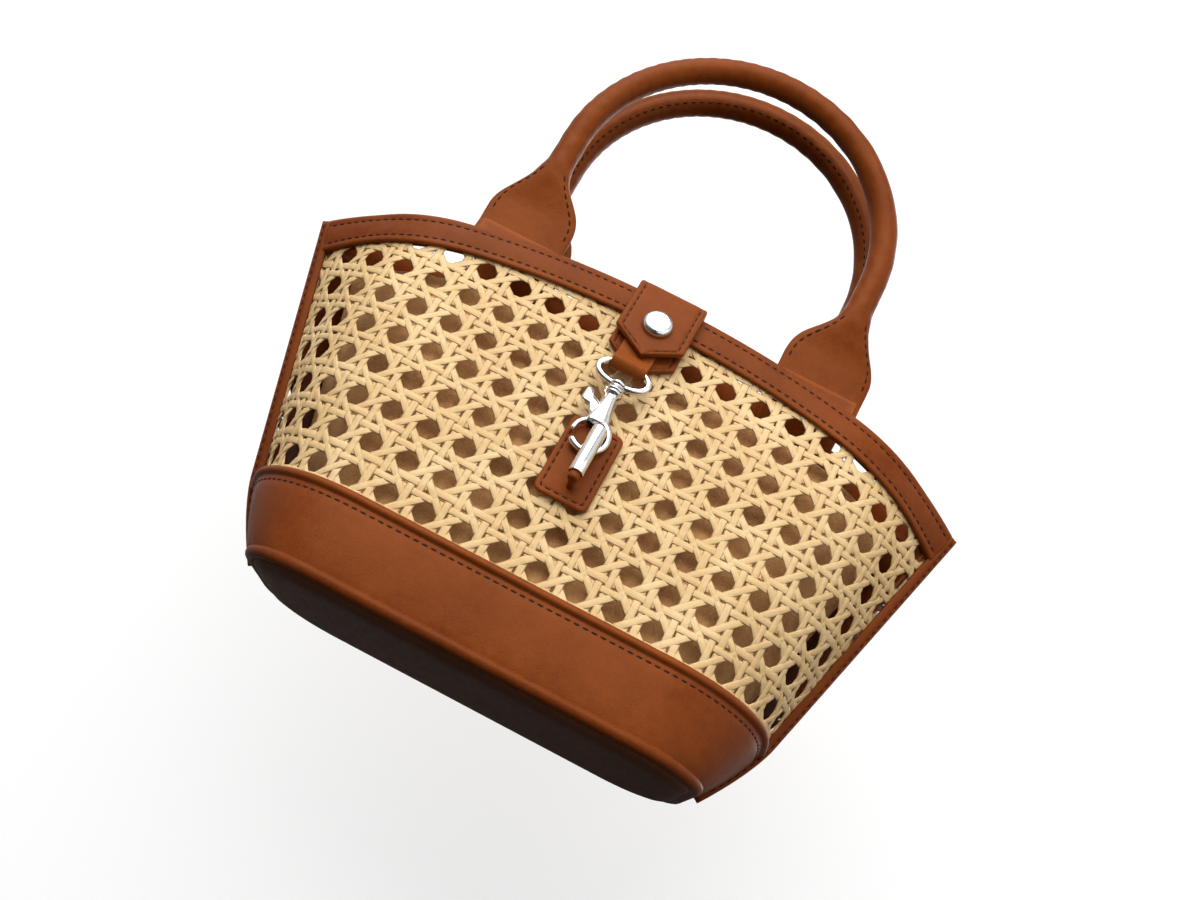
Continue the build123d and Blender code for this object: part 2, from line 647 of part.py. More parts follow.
with BuildPart() as clasp_lever:
    with BuildSketch(clasp_plane):
        with Locations((0, hook_centre)):
            Circle(HOOK_RADIUS + HOOK_WIRE - 0.2)
            Circle(HOOK_RADIUS - HOOK_WIRE + 0.2, mode=Mode.SUBTRACT)
        with BuildLine():
            far = 3 * HOOK_RADIUS
            Polyline(
                (0, hook_centre),
                (far * cos(radians(GATE_START)), hook_centre + far * sin(radians(GATE_START))),
                (far, hook_centre + far),
                (far, hook_centre - far),
                (-far, hook_centre - far),
                (far * cos(radians(GATE_END)), hook_centre + far * sin(radians(GATE_END))),
                close=True,
            )
        make_face(mode=Mode.SUBTRACT)
        with BuildLine():
            Polyline(
                (PIN_AT[0] + BOSS_RADIUS - 0.4, PIN_AT[1] + 0.3),
                (PIN_AT[0] - 1.2, PIN_AT[1] + BOSS_RADIUS - 0.6),
                (THUMB_TAB[0] + 0.4, THUMB_TAB[1] + 1.5),
                (THUMB_TAB[0] - 1.6, THUMB_TAB[1] + 0.3),
                (THUMB_TAB[0] - 0.6, THUMB_TAB[1] - 1.4),
                (-5.6, PIN_AT[1] - 1.0),
                (-6.4, hook_centre + 5.2),
                (-3.2, hook_centre + 6.3),
                (PIN_AT[0] + 0.6, PIN_AT[1] - BOSS_RADIUS + 0.4),
                close=True,
            )
        make_face()
        with Locations(PIN_AT):
            Circle(BOSS_RADIUS)
            Circle(PIN_RADIUS + PIN_FIT, mode=Mode.SUBTRACT)
    extrude(amount=LEVER_THICKNESS / 2, both=True)
    with BuildSketch(clasp_plane.offset(-LEVER_THICKNESS / 2)):
        with Locations(PIN_AT):
            Circle(SPRING_RADIUS + SPRING_WIRE + 0.3)
    extrude(amount=SPRING_ROOM, mode=Mode.SUBTRACT)

with BuildPart() as clasp_pin:
    with BuildSketch(clasp_plane):
        with Locations(PIN_AT):
            Circle(PIN_RADIUS)
    extrude(amount=BODY_THICKNESS / 2 + 0.1, both=True)

with BuildPart() as clasp_spring:
    with BuildSketch(clasp_plane.offset(-LEVER_THICKNESS / 2 - LEVER_CLEARANCE)):
        with Locations(PIN_AT):
            Circle(SPRING_RADIUS + SPRING_WIRE)
            Circle(SPRING_RADIUS - SPRING_WIRE, mode=Mode.SUBTRACT)
    extrude(amount=SPRING_ROOM - 0.2)

loop_in = WIRE_RADIUS + LOOP_CLEARANCE
loop_out = loop_in + LOOP_WALL
loop_knee = LOOP_TOP - LOOP_KNEE
rear_layer = LAYERED_LEATHER + LAYER_GAP
front_layer = rear_layer + LOOP_WALL + LAYER_GAP
with BuildPart() as clasp_loop:
    with BuildSketch(Plane.YZ.offset(CLASP_X + LOOP_SHIFT)):
        with BuildLine():
            Polyline(
                (bar_y + loop_in, BAR_HEIGHT),
                (front_y(loop_knee, rear_layer + LOOP_WALL), loop_knee),
                (front_y(LOOP_TOP, rear_layer + LOOP_WALL), LOOP_TOP),
                (front_y(LOOP_TOP, rear_layer), LOOP_TOP),
                (front_y(loop_knee, rear_layer), loop_knee),
                (bar_y + loop_out, BAR_HEIGHT),
            )
            ThreePointArc((bar_y + loop_out, BAR_HEIGHT), (bar_y, BAR_HEIGHT - loop_out),
                          (bar_y - loop_out, BAR_HEIGHT))
            Polyline(
                (bar_y - loop_out, BAR_HEIGHT),
                (front_y(loop_knee, front_layer + LOOP_WALL), loop_knee),
                (front_y(LOOP_TOP, front_layer + LOOP_WALL), LOOP_TOP),
                (front_y(LOOP_TOP, front_layer), LOOP_TOP),
                (front_y(loop_knee, front_layer), loop_knee),
                (bar_y - loop_in, BAR_HEIGHT),
            )
            ThreePointArc((bar_y - loop_in, BAR_HEIGHT), (bar_y, BAR_HEIGHT - loop_in),
                          (bar_y + loop_in, BAR_HEIGHT))
        make_face()
    extrude(amount=LOOP_HALF_WIDTH, both=True)


# ---------------------------------------------------------------- catch
def rounded_prism(x, low, high, half_width, corner):
    """A slab in front of the seam plane with a rounded rectangular outline."""
    with BuildPart() as space:
        with BuildSketch(Plane.XZ.offset(SEAM_GAP)):
            with Locations((x, (low + high) / 2)):
                RectangleRounded(2 * half_width, high - low, corner)
        extrude(amount=REACH)
    return space.part


tube_middle = (TUBE_BOTTOM + TUBE_TOP) / 2
tube_plane = face_plane(TUBE_X, tube_middle, 0)
tube_half = (TUBE_TOP - TUBE_BOTTOM) / 2 / cos(face_tilt(tube_middle))
leg_v = tube_half + CATCH_LEG_GAP + CATCH_CORD_RADIUS
catch_plane = Plane(
    origin=tube_plane.origin,
    x_dir=tube_plane.y_dir,
    z_dir=tube_plane.x_dir,
)
with BuildPart() as catch_cord:
    with BuildLine(catch_plane) as cord_path:
        FilletPolyline(
            (leg_v, 1.0),
            (leg_v, TUBE_OFFSET),
            (-leg_v, TUBE_OFFSET),
            (-leg_v, 1.0),
            radius=CATCH_BEND,
        )
    with BuildSketch(Plane(origin=cord_path.line @ 0, z_dir=cord_path.line % 0)):
        Circle(CATCH_CORD_RADIUS)
    sweep(path=cord_path.line)
    add(cane_skin, mode=Mode.SUBTRACT)

with BuildPart() as catch_patch:
    add(layered_skin & rounded_prism(PATCH_X, PATCH_BOTTOM, PATCH_TOP, PATCH_HALF_WIDTH, PATCH_CORNER))
    add(cane_skin, mode=Mode.SUBTRACT)
    add(catch_cord.part, mode=Mode.SUBTRACT)

with BuildPart() as catch_tube:
    with BuildSketch(Plane(origin=catch_plane.from_local_coords((-tube_half, TUBE_OFFSET, 0)),
                           z_dir=catch_plane.x_dir)):
        Circle(TUBE_RADIUS)
        Circle(CATCH_CORD_RADIUS + SNAP_FIT, mode=Mode.SUBTRACT)
    extrude(amount=2 * tube_half)

# ---------------------------------------------------------------- write the parts
roots = {
    "front_handle_root_left": tab_root(-TAB_CENTRE),
    "front_handle_root_right": tab_root(TAB_CENTRE),
}
pieces = {
    "base_panel": base_panel.part,
    "base_piping": base_piping.part,
    "base_board": base_board.part,
    "front_cane_panel": front_cane_panel.part,
    "rear_cane_panel": rear_panel,
    "front_lower_band": front_lower_band.part,
    "rear_lower_band": rear_lower_band,
    "front_rim_band": front_rim_band.part,
    "rear_rim_band": rear_rim_band,
    "left_side_binding": left_binding,
    "right_side_binding": right_binding,
    "inner_pouch": inner_pouch.part,
    "front_handle": front_handle.part,
    "rear_handle": rear_handle,
    "front_handle_root_left": roots["front_handle_root_left"],
    "front_handle_root_right": roots["front_handle_root_right"],
    "rear_handle_root_left": mirror(roots["front_handle_root_left"], about=Plane.XZ),
    "rear_handle_root_right": mirror(roots["front_handle_root_right"], about=Plane.XZ),
    "closure_strap": closure_strap.part,
    "under_tab": under_tab.part,
    "snap_cap": snap_cap.part,
    "snap_socket": snap_socket.part,
    "snap_stud": snap_stud.part,
    "snap_washer": snap_washer.part,
    "clasp_loop": clasp_loop.part,
    "clasp_eye": clasp_eye.part,
    "clasp_body": clasp_body.part,
    "clasp_lever": clasp_lever.part,
    "clasp_pin": clasp_pin.part,
    "clasp_spring": clasp_spring.part,
    "catch_patch": catch_patch.part,
    "catch_cord": catch_cord.part,
    "catch_tube": catch_tube.part,
}
for label, piece in pieces.items():
    report(piece, label)
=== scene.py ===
import bmesh
import bpy
import numpy as np
from mathutils import Matrix, Vector


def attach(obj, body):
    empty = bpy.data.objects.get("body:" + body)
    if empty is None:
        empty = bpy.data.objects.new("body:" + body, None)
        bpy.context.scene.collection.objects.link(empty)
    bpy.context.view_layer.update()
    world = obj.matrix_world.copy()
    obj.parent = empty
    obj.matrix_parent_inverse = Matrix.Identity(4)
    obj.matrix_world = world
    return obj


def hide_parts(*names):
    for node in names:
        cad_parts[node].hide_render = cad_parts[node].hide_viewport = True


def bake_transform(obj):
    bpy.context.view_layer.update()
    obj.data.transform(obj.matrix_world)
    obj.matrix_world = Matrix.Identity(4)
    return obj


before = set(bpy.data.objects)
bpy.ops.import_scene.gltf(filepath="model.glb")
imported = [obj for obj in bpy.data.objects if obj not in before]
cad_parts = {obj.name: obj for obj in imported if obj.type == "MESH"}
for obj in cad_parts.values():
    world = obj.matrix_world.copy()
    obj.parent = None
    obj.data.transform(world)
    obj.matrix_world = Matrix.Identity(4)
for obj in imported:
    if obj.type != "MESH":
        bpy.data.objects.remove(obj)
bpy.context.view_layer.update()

MM = 0.001

# ------------------------------------------------------------------ the bag's shape, in millimetres
RIM_HALF_WIDTH = 140.5
RIM_END = 143.5
RIM_RISE = 27.5
RIM_TOP = RIM_END + RIM_RISE
RIM_BAND = 14.0
PIPING_Z = 4.8
CANE_PITCH = 15.0
BAND_TOP, BAND_DROP, BAND_HALF_WIDTH = 37.5, 6.0, 109.75
BASE_HALF_DEPTH, MOUTH_HALF_DEPTH, TAPER_HEIGHT, FACE_BOW = 51.0, 16.7, 173.0, 3.6
FLANK_Z, FLANK_DEGREES = (3, 40, 80, 120, 150, 176), (3, 19, 28, 46, 63, 68)
CORNER_Z, CORNER_RADIUS = (3, 35, 80, 120, 150, 176), (30, 48, 50, 58, 74, 80)


def half_length(z):
    """Side seam's distance from the middle: a straight slope, rounding in near the ground."""
    return 98.5 + 0.3 * z - 10.6 * np.maximum(0.0, 1 - z / 35.0) ** 1.6


def half_depth(z):
    """Front face's distance from the middle: a straight slope with a parabola's bow."""
    t = z / TAPER_HEIGHT
    return BASE_HALF_DEPTH + (MOUTH_HALF_DEPTH - BASE_HALF_DEPTH) * t + FACE_BOW * 4 * t * (1 - t)


def rim_z(x):
    """Rim height: its rise falls off with a power of the distance from the middle."""
    return RIM_END + RIM_RISE * (1 - np.abs(x / RIM_HALF_WIDTH) ** 2.15)


def band_z(x):
    """Top edge of the lower band, a little lower towards the seams."""
    return BAND_TOP - BAND_DROP * np.minimum(1.5, np.abs(x / BAND_HALF_WIDTH) ** 6)


def section(z):
    """Outline at height z: the flank's angle, the half depth, the corner's radius, the flank's
    length, the x where the flank starts, and the corner's centre."""
    angle = np.radians(np.interp(z, FLANK_Z, FLANK_DEGREES))
    b, r = half_depth(z), np.interp(z, CORNER_Z, CORNER_RADIUS)
    flank = (b - r + r * np.sin(angle)) / np.cos(angle)
    ex = half_length(z) - flank * np.sin(angle)
    return angle, b, r, flank, ex, ex - r * np.cos(angle), flank * np.cos(angle) - r * np.sin(angle)


def girth(z):
    """Length of the outline from the middle of the front to the seam at height z."""
    angle, _, r, flank, _, cx, _ = section(z)
    return cx + r * (np.pi / 2 - angle) + flank


def wall(s, z, out, side=-1):
    """Point at girth length s from the middle, at height z, moved out along the outline's normal.
    side is -1 on the front and 1 on the rear."""
    s, z, out = np.broadcast_arrays(np.asarray(s, float), np.asarray(z, float), np.asarray(out, float))
    angle, b, r, flank, _, cx, cy = section(z)
    m = np.abs(s)
    turn = np.clip((m - cx) / r, 0, np.pi / 2 - angle)
    heading = np.pi / 2 - turn
    run = np.clip(m - cx - r * (np.pi / 2 - angle), 0, flank)
    flat = m <= cx
    x = np.where(flat, m, cx + r * np.cos(heading) + run * np.sin(angle))
    y = np.where(flat, b, cy + r * np.sin(heading) - run * np.cos(angle))
    nx = np.where(flat, 0.0, np.cos(heading))
    ny = np.where(flat, 1.0, np.sin(heading))
    return np.stack([np.sign(s) * (x + out * nx), side * (y + out * ny), z], -1)


def across(x, z, out, side=-1):
    """The same wall, found by x in place of girth length."""
    x, z, out = np.broadcast_arrays(np.asarray(x, float), np.asarray(z, float), np.asarray(out, float))
    angle, _, r, _, ex, cx, _ = section(z)
    m = np.abs(x)
    bend = np.arccos(np.clip((np.minimum(m, ex) - cx) / r, -1, 1))
    s = np.where(m <= cx, m, np.where(m <= ex, cx + r * (np.pi / 2 - bend),
                 cx + r * (np.pi / 2 - angle) + (m - ex) / np.maximum(np.sin(angle), 0.02)))
    s = np.minimum(s, girth(z))
    return wall(np.where(x < 0, -s, s), z, out, side)


def rim_path(share, drop, out, side=-1):
    """Point on the rim: share runs -1 to 1 from seam to seam, drop is the depth under the rim's edge."""
    share = np.asarray(share, float)
    z = rim_z(share * RIM_HALF_WIDTH) - drop
    return across(share * half_length(RIM_END - drop), z, out, side)


# ------------------------------------------------------------------ mesh making
def make(name, points, faces, uv=None):
    """A smooth mesh from points in millimetres and a list of index faces, with uv per point."""
    mesh = bpy.data.meshes.new(name)
    mesh.from_pydata((np.asarray(points, float) * MM).tolist(), [], [tuple(f) for f in faces])
    if uv is not None:
        layer = mesh.uv_layers.new(name="UVMap")
        loops = np.empty(len(mesh.loops), int)
        mesh.loops.foreach_get("vertex_index", loops)
        layer.data.foreach_set("uv", np.asarray(uv, np.float32)[loops].ravel())
    mesh.polygons.foreach_set("use_smooth", [True] * len(mesh.polygons))
    mesh.update()
    piece = bpy.data.objects.new(name, mesh)
    bpy.context.scene.collection.objects.link(piece)
    return piece


def grid_faces(rows, columns, wrap_rows=False, wrap_columns=False, start=0, flip=False):
    """Index quads of a grid stored row by row."""
    i, j = np.meshgrid(np.arange(rows - (not wrap_rows)), np.arange(columns - (not wrap_columns)),
                       indexing="ij")
    i2, j2 = (i + 1) % rows, (j + 1) % columns
    quads = np.stack([i * columns + j, i2 * columns + j, i2 * columns + j2, i * columns + j2], -1)
    quads = quads.reshape(-1, 4) + start
    return quads[:, ::-1] if flip else quads


def settle(piece):
    """Merge doubles and turn every face outward."""
    work = bmesh.new()
    work.from_mesh(piece.data)
    bmesh.ops.remove_doubles(work, verts=work.verts, dist=2e-6)
    bmesh.ops.recalc_face_normals(work, faces=work.faces)
    work.to_mesh(piece.data)
    work.free()
    return piece


def path_lengths(path):
    """Length run along a path up to each of its points."""
    return np.r_[0, np.cumsum(np.linalg.norm(np.diff(path, axis=0), axis=1))]


def sampled(at, along, values):
    """The columns of values, known at the lengths along, read off at the lengths at."""
    return np.stack([np.interp(at, along, column) for column in values.T], -1)


def powered(x, power):
    """x raised to a power, keeping its sign."""
    return np.sign(x) * np.abs(x) ** power


def lofted(name, grid):
    """A tube whose rows are closed loops: grid[row, loop point]; its two ends are capped by a fan."""
    rows, columns = grid.shape[:2]
    along = path_lengths(grid.mean(1))
    ring = np.linspace(0, 1, columns, endpoint=False)
    perimeter = np.linalg.norm(grid - np.roll(grid, 1, 1), axis=-1).sum(1).max()
    uv = np.stack(np.broadcast_arrays(along[:, None], ring[None, :] * perimeter), -1).reshape(-1, 2)
    uv = np.concatenate([uv, [[0, 0], [along[-1], 0]]])
    points = np.concatenate([grid.reshape(-1, 3), np.stack([grid[0].mean(0), grid[-1].mean(0)])])
    first, last, base = rows * columns, rows * columns + 1, (rows - 1) * columns
    faces = list(grid_faces(rows, columns, wrap_columns=True))
    for k in range(columns):
        n = (k + 1) % columns
        faces += [(first, k, n), (last, base + n, base + k)]
    return settle(make(name, points, faces, uv))


def unit(v):
    """Vectors divided by their lengths."""
    return v / np.maximum(np.linalg.norm(v, axis=-1, keepdims=True), 1e-9)


def tube(name, path, radius, sides, around, closed=False):
    """A round bar along path: circle points in the plane square to the path, their first axis kept
    square to the guide direction around."""
    path = np.asarray(path, float)
    if closed:
        tangent = unit(np.roll(path, -1, 0) - np.roll(path, 1, 0))
    else:
        tangent = unit(np.gradient(path, axis=0))
    right = unit(np.cross(tangent, np.array(around, float)))
    up = np.cross(right, tangent)
    a = np.linspace(0, 2 * np.pi, sides, endpoint=False)
    r = np.broadcast_to(np.asarray(radius, float), (len(path),))[:, None, None]
    ring = r * (np.cos(a)[None, :, None] * right[:, None] + np.sin(a)[None, :, None] * up[:, None])
    grid = path[:, None] + ring
    if not closed:
        return lofted(name, grid)
    uv = np.stack(np.broadcast_arrays(path_lengths(path)[:, None], a[None] * float(np.max(radius))), -1)
    return settle(make(name, grid.reshape(-1, 3), grid_faces(len(path), sides, True, True), uv.reshape(-1, 2)))


def stitch_row(name, path, normal, gap=0.75, long=2.7, wide=0.8, high=0.3, sink=0.14):
    """A row of thread stitches along path: each is a short pillow, length long, with a gap after it,
    its middle raised and its two ends dipping into the leather."""
    path, normal = np.asarray(path, float), np.asarray(normal, float)
    along = path_lengths(path)
    count = max(1, int(along[-1] // (long + gap)))
    pitch = along[-1] / count
    t = np.array([0.0, 0.14, 0.5, 0.86, 1.0])
    at = (np.arange(count)[:, None] + 0.5) * pitch + (t[None] - 0.5) * (pitch - gap)
    centre, up = sampled(at, along, path), unit(sampled(at, along, normal))
    ahead = unit(np.gradient(centre, axis=1))
    side = unit(np.cross(ahead, up))
    size = np.array([0.35, 0.85, 1.0, 0.85, 0.35])
    dip = np.array([-0.35, -0.02, 0.12, -0.02, -0.35])
    a = np.linspace(0, 2 * np.pi, 6, endpoint=False)
    grid = (centre[:, :, None] + up[:, :, None] * (dip[None, :, None, None] - sink)
            + size[None, :, None, None] * (np.cos(a)[None, None, :, None] * side[:, :, None] * wide / 2
                                           + np.sin(a)[None, None, :, None] * up[:, :, None] * high))
    one = grid_faces(5, 6, wrap_columns=True)
    quads = (one[None] + (np.arange(count) * 30)[:, None, None]).reshape(-1, 4)
    caps = [30 * k + np.arange(6)[::-1] for k in range(count)]
    caps += [30 * k + 24 + np.arange(6) for k in range(count)]
    return settle(make(name, grid.reshape(-1, 3), list(quads) + caps))


def band(name, side, profile, shares, place):
    """A strip of leather: a closed profile of (height, outward) points carried along the wall by
    place(share, height, out, side)."""
    return lofted(name, np.stack([place(shares, h, o, side) for h, o in profile], 1))


def rounded(points, radius, steps=4):
    """A closed outline with each corner replaced by a small curve: quadratic blends between the
    points a radius before and after the corner."""
    p = np.asarray(points, float)
    out = []
    for k in range(len(p)):
        a, b, c = p[k - 1], p[k], p[(k + 1) % len(p)]
        ra = min(radius, 0.45 * np.linalg.norm(a - b))
        rc = min(radius, 0.45 * np.linalg.norm(c - b))
        s, e = b + (a - b) / np.linalg.norm(a - b) * ra, b + (c - b) / np.linalg.norm(c - b) * rc
        for t in np.linspace(0, 1, steps):
            out.append((1 - t) ** 2 * s + 2 * t * (1 - t) * b + t ** 2 * e)
    return np.array(out)


def shared_edges(wide, count):
    """Sample places from -wide to wide, closer together near the ends."""
    t = np.linspace(-1, 1, count)
    return wide * np.sin(t * np.pi / 2) * 0.35 + wide * t * 0.65


# ------------------------------------------------------------------ materials
def new_group(name, inputs, outputs):
    """An empty shader group with the named sockets."""
    group = bpy.data.node_groups.new(name, "ShaderNodeTree")
    for label, kind, value in inputs:
        socket = group.interface.new_socket(name=label, in_out="INPUT", socket_type=kind)
        socket.default_value = value
    for label, kind in outputs:
        group.interface.new_socket(name=label, in_out="OUTPUT", socket_type=kind)
    return group, group.nodes.new("NodeGroupInput"), group.nodes.new("NodeGroupOutput")


def node(tree, kind, **settings):
    """A node with its named properties and inputs set."""
    made = tree.nodes.new(kind)
    for key, value in settings.items():
        if key.startswith("i_"):
            label = key[2:].replace("_", " ")
            made.inputs[label].default_value = value
        else:
            setattr(made, key, value)
    return made


def math(tree, how, a, b=None):
    """A math node; a and b are sockets or numbers."""
    made = tree.nodes.new("ShaderNodeMath")
    made.operation = how
    for k, v in enumerate((a, b)):
        if v is None:
            continue
        if isinstance(v, (int, float)):
            made.inputs[k].default_value = v
        else:
            tree.links.new(v, made.inputs[k])
    return made.outputs[0]


def blend_colour(tree, share, a, b):
    """A colour mix; share is a socket or number, a and b sockets or colours."""
    made = tree.nodes.new("ShaderNodeMix")
    made.data_type = "RGBA"
    for socket, v in ((made.inputs[0], share), (made.inputs[6], a), (made.inputs[7], b)):
        if isinstance(v, (int, float)):
            socket.default_value = v
        elif isinstance(v, tuple):
            socket.default_value = (*v, 1)
        else:
            tree.links.new(v, socket)
    return made.outputs[2]


def span(tree, value, low, high, to_low=0.0, to_high=1.0):
    """value carried from one range to another, clamped."""
    made = node(tree, "ShaderNodeMapRange")
    tree.links.new(value, made.inputs[0])
    for k, v in enumerate((low, high, to_low, to_high)):
        made.inputs[k + 1].default_value = v
    return made.outputs[0]


def noise(tree, vector, **settings):
    """Noise read at a vector socket."""
    made = node(tree, "ShaderNodeTexNoise", **settings)
    tree.links.new(vector, made.inputs["Vector"])
    return made.outputs["Fac"]


def leather_group():
    """Grain and stain: small pebble cells for the height, broad clouds for the tone."""
    tree, gin, gout = new_group(
        "leather_grain", [("Scale", "NodeSocketFloat", 1.0), ("Vector", "NodeSocketVector", (0, 0, 0))],
        [("Height", "NodeSocketFloat"), ("Cloud", "NodeSocketFloat"), ("Speck", "NodeSocketFloat")])
    link = tree.links.new
    scaled = node(tree, "ShaderNodeVectorMath", operation="SCALE")
    link(gin.outputs["Vector"], scaled.inputs[0])
    link(gin.outputs["Scale"], scaled.inputs["Scale"])
    cells = node(tree, "ShaderNodeTexVoronoi", feature="SMOOTH_F1", i_Scale=1500.0)
    link(scaled.outputs[0], cells.inputs["Vector"])
    wrinkle = noise(tree, scaled.outputs[0], i_Scale=420.0, i_Detail=4.0, i_Roughness=0.6)
    clouds = noise(tree, scaled.outputs[0], i_Scale=28.0, i_Detail=5.0, i_Roughness=0.62)
    specks = noise(tree, scaled.outputs[0], i_Scale=260.0, i_Detail=3.0, i_Roughness=0.7)
    height = math(tree, "ADD", math(tree, "MULTIPLY", cells.outputs["Distance"], 0.55),
                  math(tree, "MULTIPLY", wrinkle, 0.6))
    link(height, gout.inputs["Height"])
    link(span(tree, clouds, 0.32, 0.7), gout.inputs["Cloud"])
    link(span(tree, specks, 0.35, 0.68), gout.inputs["Speck"])
    return tree


LEATHER_GRAIN = leather_group()


def material(name):
    """A new node material with its shader and its Object coordinates."""
    made = bpy.data.materials.new(name)
    made.use_nodes = True
    tree = made.node_tree
    tree.nodes.clear()
    out = tree.nodes.new("ShaderNodeOutputMaterial")
    shader = tree.nodes.new("ShaderNodeBsdfPrincipled")
    tree.links.new(shader.outputs[0], out.inputs[0])
    place = tree.nodes.new("ShaderNodeTexCoord")
    return made, tree, shader, place


def bump(tree, shader, height, distance, strength):
    """Feed a height, worth distance in metres, into the shader's normal."""
    made = node(tree, "ShaderNodeBump", i_Strength=strength, i_Distance=distance)
    tree.links.new(height, made.inputs["Height"])
    tree.links.new(made.outputs[0], shader.inputs["Normal"])


def preset(shader, **values):
    """Set a shader's inputs, an underscore standing for each space in their names."""
    for label, value in values.items():
        shader.inputs[label.replace("_", " ")].default_value = value


def leather(name, deep, light, worn, rough=0.4):
    """Smooth saddle leather: stained clouds between two browns, worn lighter along raised edges, with painted
    shade darkening its concave creases.
    """
    made, tree, shader, place = material(name)
    group = tree.nodes.new("ShaderNodeGroup")
    group.node_tree = LEATHER_GRAIN
    group.inputs["Scale"].default_value = 1.0
    tree.links.new(place.outputs["Object"], group.inputs["Vector"])
    pointed_out = tree.nodes.new("ShaderNodeNewGeometry").outputs["Pointiness"]
    # pointiness masks: raised edges for wear, concave creases for painted shade
    edge, painted_crease_shade = span(tree, pointed_out, 0.515, 0.60), span(tree, pointed_out, 0.485, 0.43)
    tone = blend_colour(tree, group.outputs["Cloud"], deep, light)
    tone = blend_colour(tree, math(tree, "MULTIPLY", group.outputs["Speck"], 0.16), tone, worn)
    tone = blend_colour(tree, math(tree, "MULTIPLY", edge, 0.45), tone, worn)
    # painted shade: concave creases darkened towards near-black brown
    tone = blend_colour(tree, math(tree, "MULTIPLY", painted_crease_shade, 0.55), tone, (0.05, 0.014, 0.006))
    tree.links.new(tone, shader.inputs["Base Color"])
    gloss = span(tree, group.outputs["Speck"], 0, 1, rough - 0.05, rough + 0.09)
    tree.links.new(gloss, shader.inputs["Roughness"])
    preset(shader, Specular_IOR_Level=0.14, Specular_Tint=(1.0, 0.62, 0.36, 1.0))
    bump(tree, shader, group.outputs["Height"], 0.00022, 0.5)
    return made


def straw(name):
    """Split cane: pale skin with fine fibres running along each strand, with painted shade darkening it brown in
    the creases where strands meet.
    """
    made, tree, shader, place = material(name)
    stretch = node(tree, "ShaderNodeMapping")
    stretch.inputs["Scale"].default_value = (0.05, 2.6, 1.0)
    tree.links.new(place.outputs["UV"], stretch.inputs[0])
    fibre = noise(tree, stretch.outputs[0], i_Scale=3.0, i_Detail=4.0, i_Roughness=0.65)
    cloud = noise(tree, place.outputs["Object"], i_Scale=55.0, i_Detail=3.0)
    pointed_out = tree.nodes.new("ShaderNodeNewGeometry").outputs["Pointiness"]
    # painted shade: concave creases where strands meet, darkened towards brown
    painted_crease_shade = math(tree, "MULTIPLY", span(tree, pointed_out, 0.495, 0.44), 0.7)
    tone = blend_colour(tree, span(tree, fibre, 0.3, 0.72), (0.50, 0.30, 0.115), (0.76, 0.54, 0.26))
    tone = blend_colour(tree, span(tree, cloud, 0.45, 0.75, 0.0, 0.5), tone, (0.80, 0.60, 0.33))
    tone = blend_colour(tree, painted_crease_shade, tone, (0.22, 0.10, 0.03))
    tree.links.new(tone, shader.inputs["Base Color"])
    tree.links.new(span(tree, fibre, 0.2, 0.8, 0.42, 0.62), shader.inputs["Roughness"])
    preset(shader, Specular_IOR_Level=0.4)
    bump(tree, shader, fibre, 0.00025, 0.55)
    return made


def suede(name):
    """Brushed cloth: short nap in two tones with a soft sheen."""
    made, tree, shader, place = material(name)
    nap = noise(tree, place.outputs["Object"], i_Scale=900.0, i_Detail=5.0, i_Roughness=0.7)
    cloud = noise(tree, place.outputs["Object"], i_Scale=60.0, i_Detail=4.0, i_Roughness=0.6)
    tone = blend_colour(tree, span(tree, cloud, 0.35, 0.65), (0.46, 0.21, 0.065), (0.72, 0.38, 0.14))
    tone = blend_colour(tree, span(tree, nap, 0.45, 0.7, 0.0, 0.5), tone, (0.70, 0.42, 0.20))
    tree.links.new(tone, shader.inputs["Base Color"])
    tree.links.new(span(tree, nap, 0, 1, 0.8, 0.95), shader.inputs["Roughness"])
    preset(shader, Sheen_Weight=0.12, Sheen_Roughness=0.45)
    bump(tree, shader, nap, 0.0006, 0.7)
    return made


def polished(name, tone=(0.80, 0.79, 0.78), rough=0.09):
    """Plated metal: bright, with faint rub marks in its gloss."""
    made, tree, shader, place = material(name)
    rub = noise(tree, place.outputs["Object"], i_Scale=240.0, i_Detail=3.0, i_Roughness=0.6)
    rubbed = blend_colour(tree, span(tree, rub, 0.4, 0.7), tone, tuple(0.88 * c for c in tone))
    tree.links.new(rubbed, shader.inputs["Base Color"])
    tree.links.new(span(tree, rub, 0.35, 0.7, rough, rough + 0.1), shader.inputs["Roughness"])
    preset(shader, Metallic=1.0)
    bump(tree, shader, rub, 0.00004, 0.25)
    return made


def flecked(name, scale, detail, dark, pale, **values):
    """Matt fibre: fine noise between two tones, also its bump."""
    made, tree, shader, place = material(name)
    fleck = noise(tree, place.outputs["Object"], i_Scale=scale, i_Detail=detail)
    tree.links.new(blend_colour(tree, fleck, dark, pale), shader.inputs["Base Color"])
    preset(shader, **values)
    bump(tree, shader, fleck, 0.0003, 0.5)
    return made


SADDLE = leather("saddle_leather", (0.125, 0.024, 0.004), (0.185, 0.039, 0.006), (0.30, 0.080, 0.016))
HANDLE_LEATHER = leather("handle_leather", (0.130, 0.025, 0.004), (0.195, 0.041, 0.006), (0.31, 0.084, 0.017))
TRIM = leather("trim_leather", (0.10, 0.018, 0.003), (0.155, 0.031, 0.005), (0.26, 0.066, 0.013))
BASE_LEATHER = leather("base_leather", (0.090, 0.030, 0.013), (0.135, 0.048, 0.022), (0.20, 0.085, 0.045), 0.5)
STRAW = straw("split_cane")
SUEDE = suede("pouch_suede")
CHROME = polished("polished_plate")
THREAD = flecked("waxed_thread", 1800.0, 2.0, (0.014, 0.004, 0.002), (0.045, 0.013, 0.006),
                 Roughness=0.7, Specular_IOR_Level=0.15)
BOARD = flecked("stiffener_board", 500.0, 4.0, (0.16, 0.10, 0.06), (0.34, 0.24, 0.15), Roughness=0.85)
WIRE = polished("spring_wire", (0.45, 0.45, 0.46), 0.3)


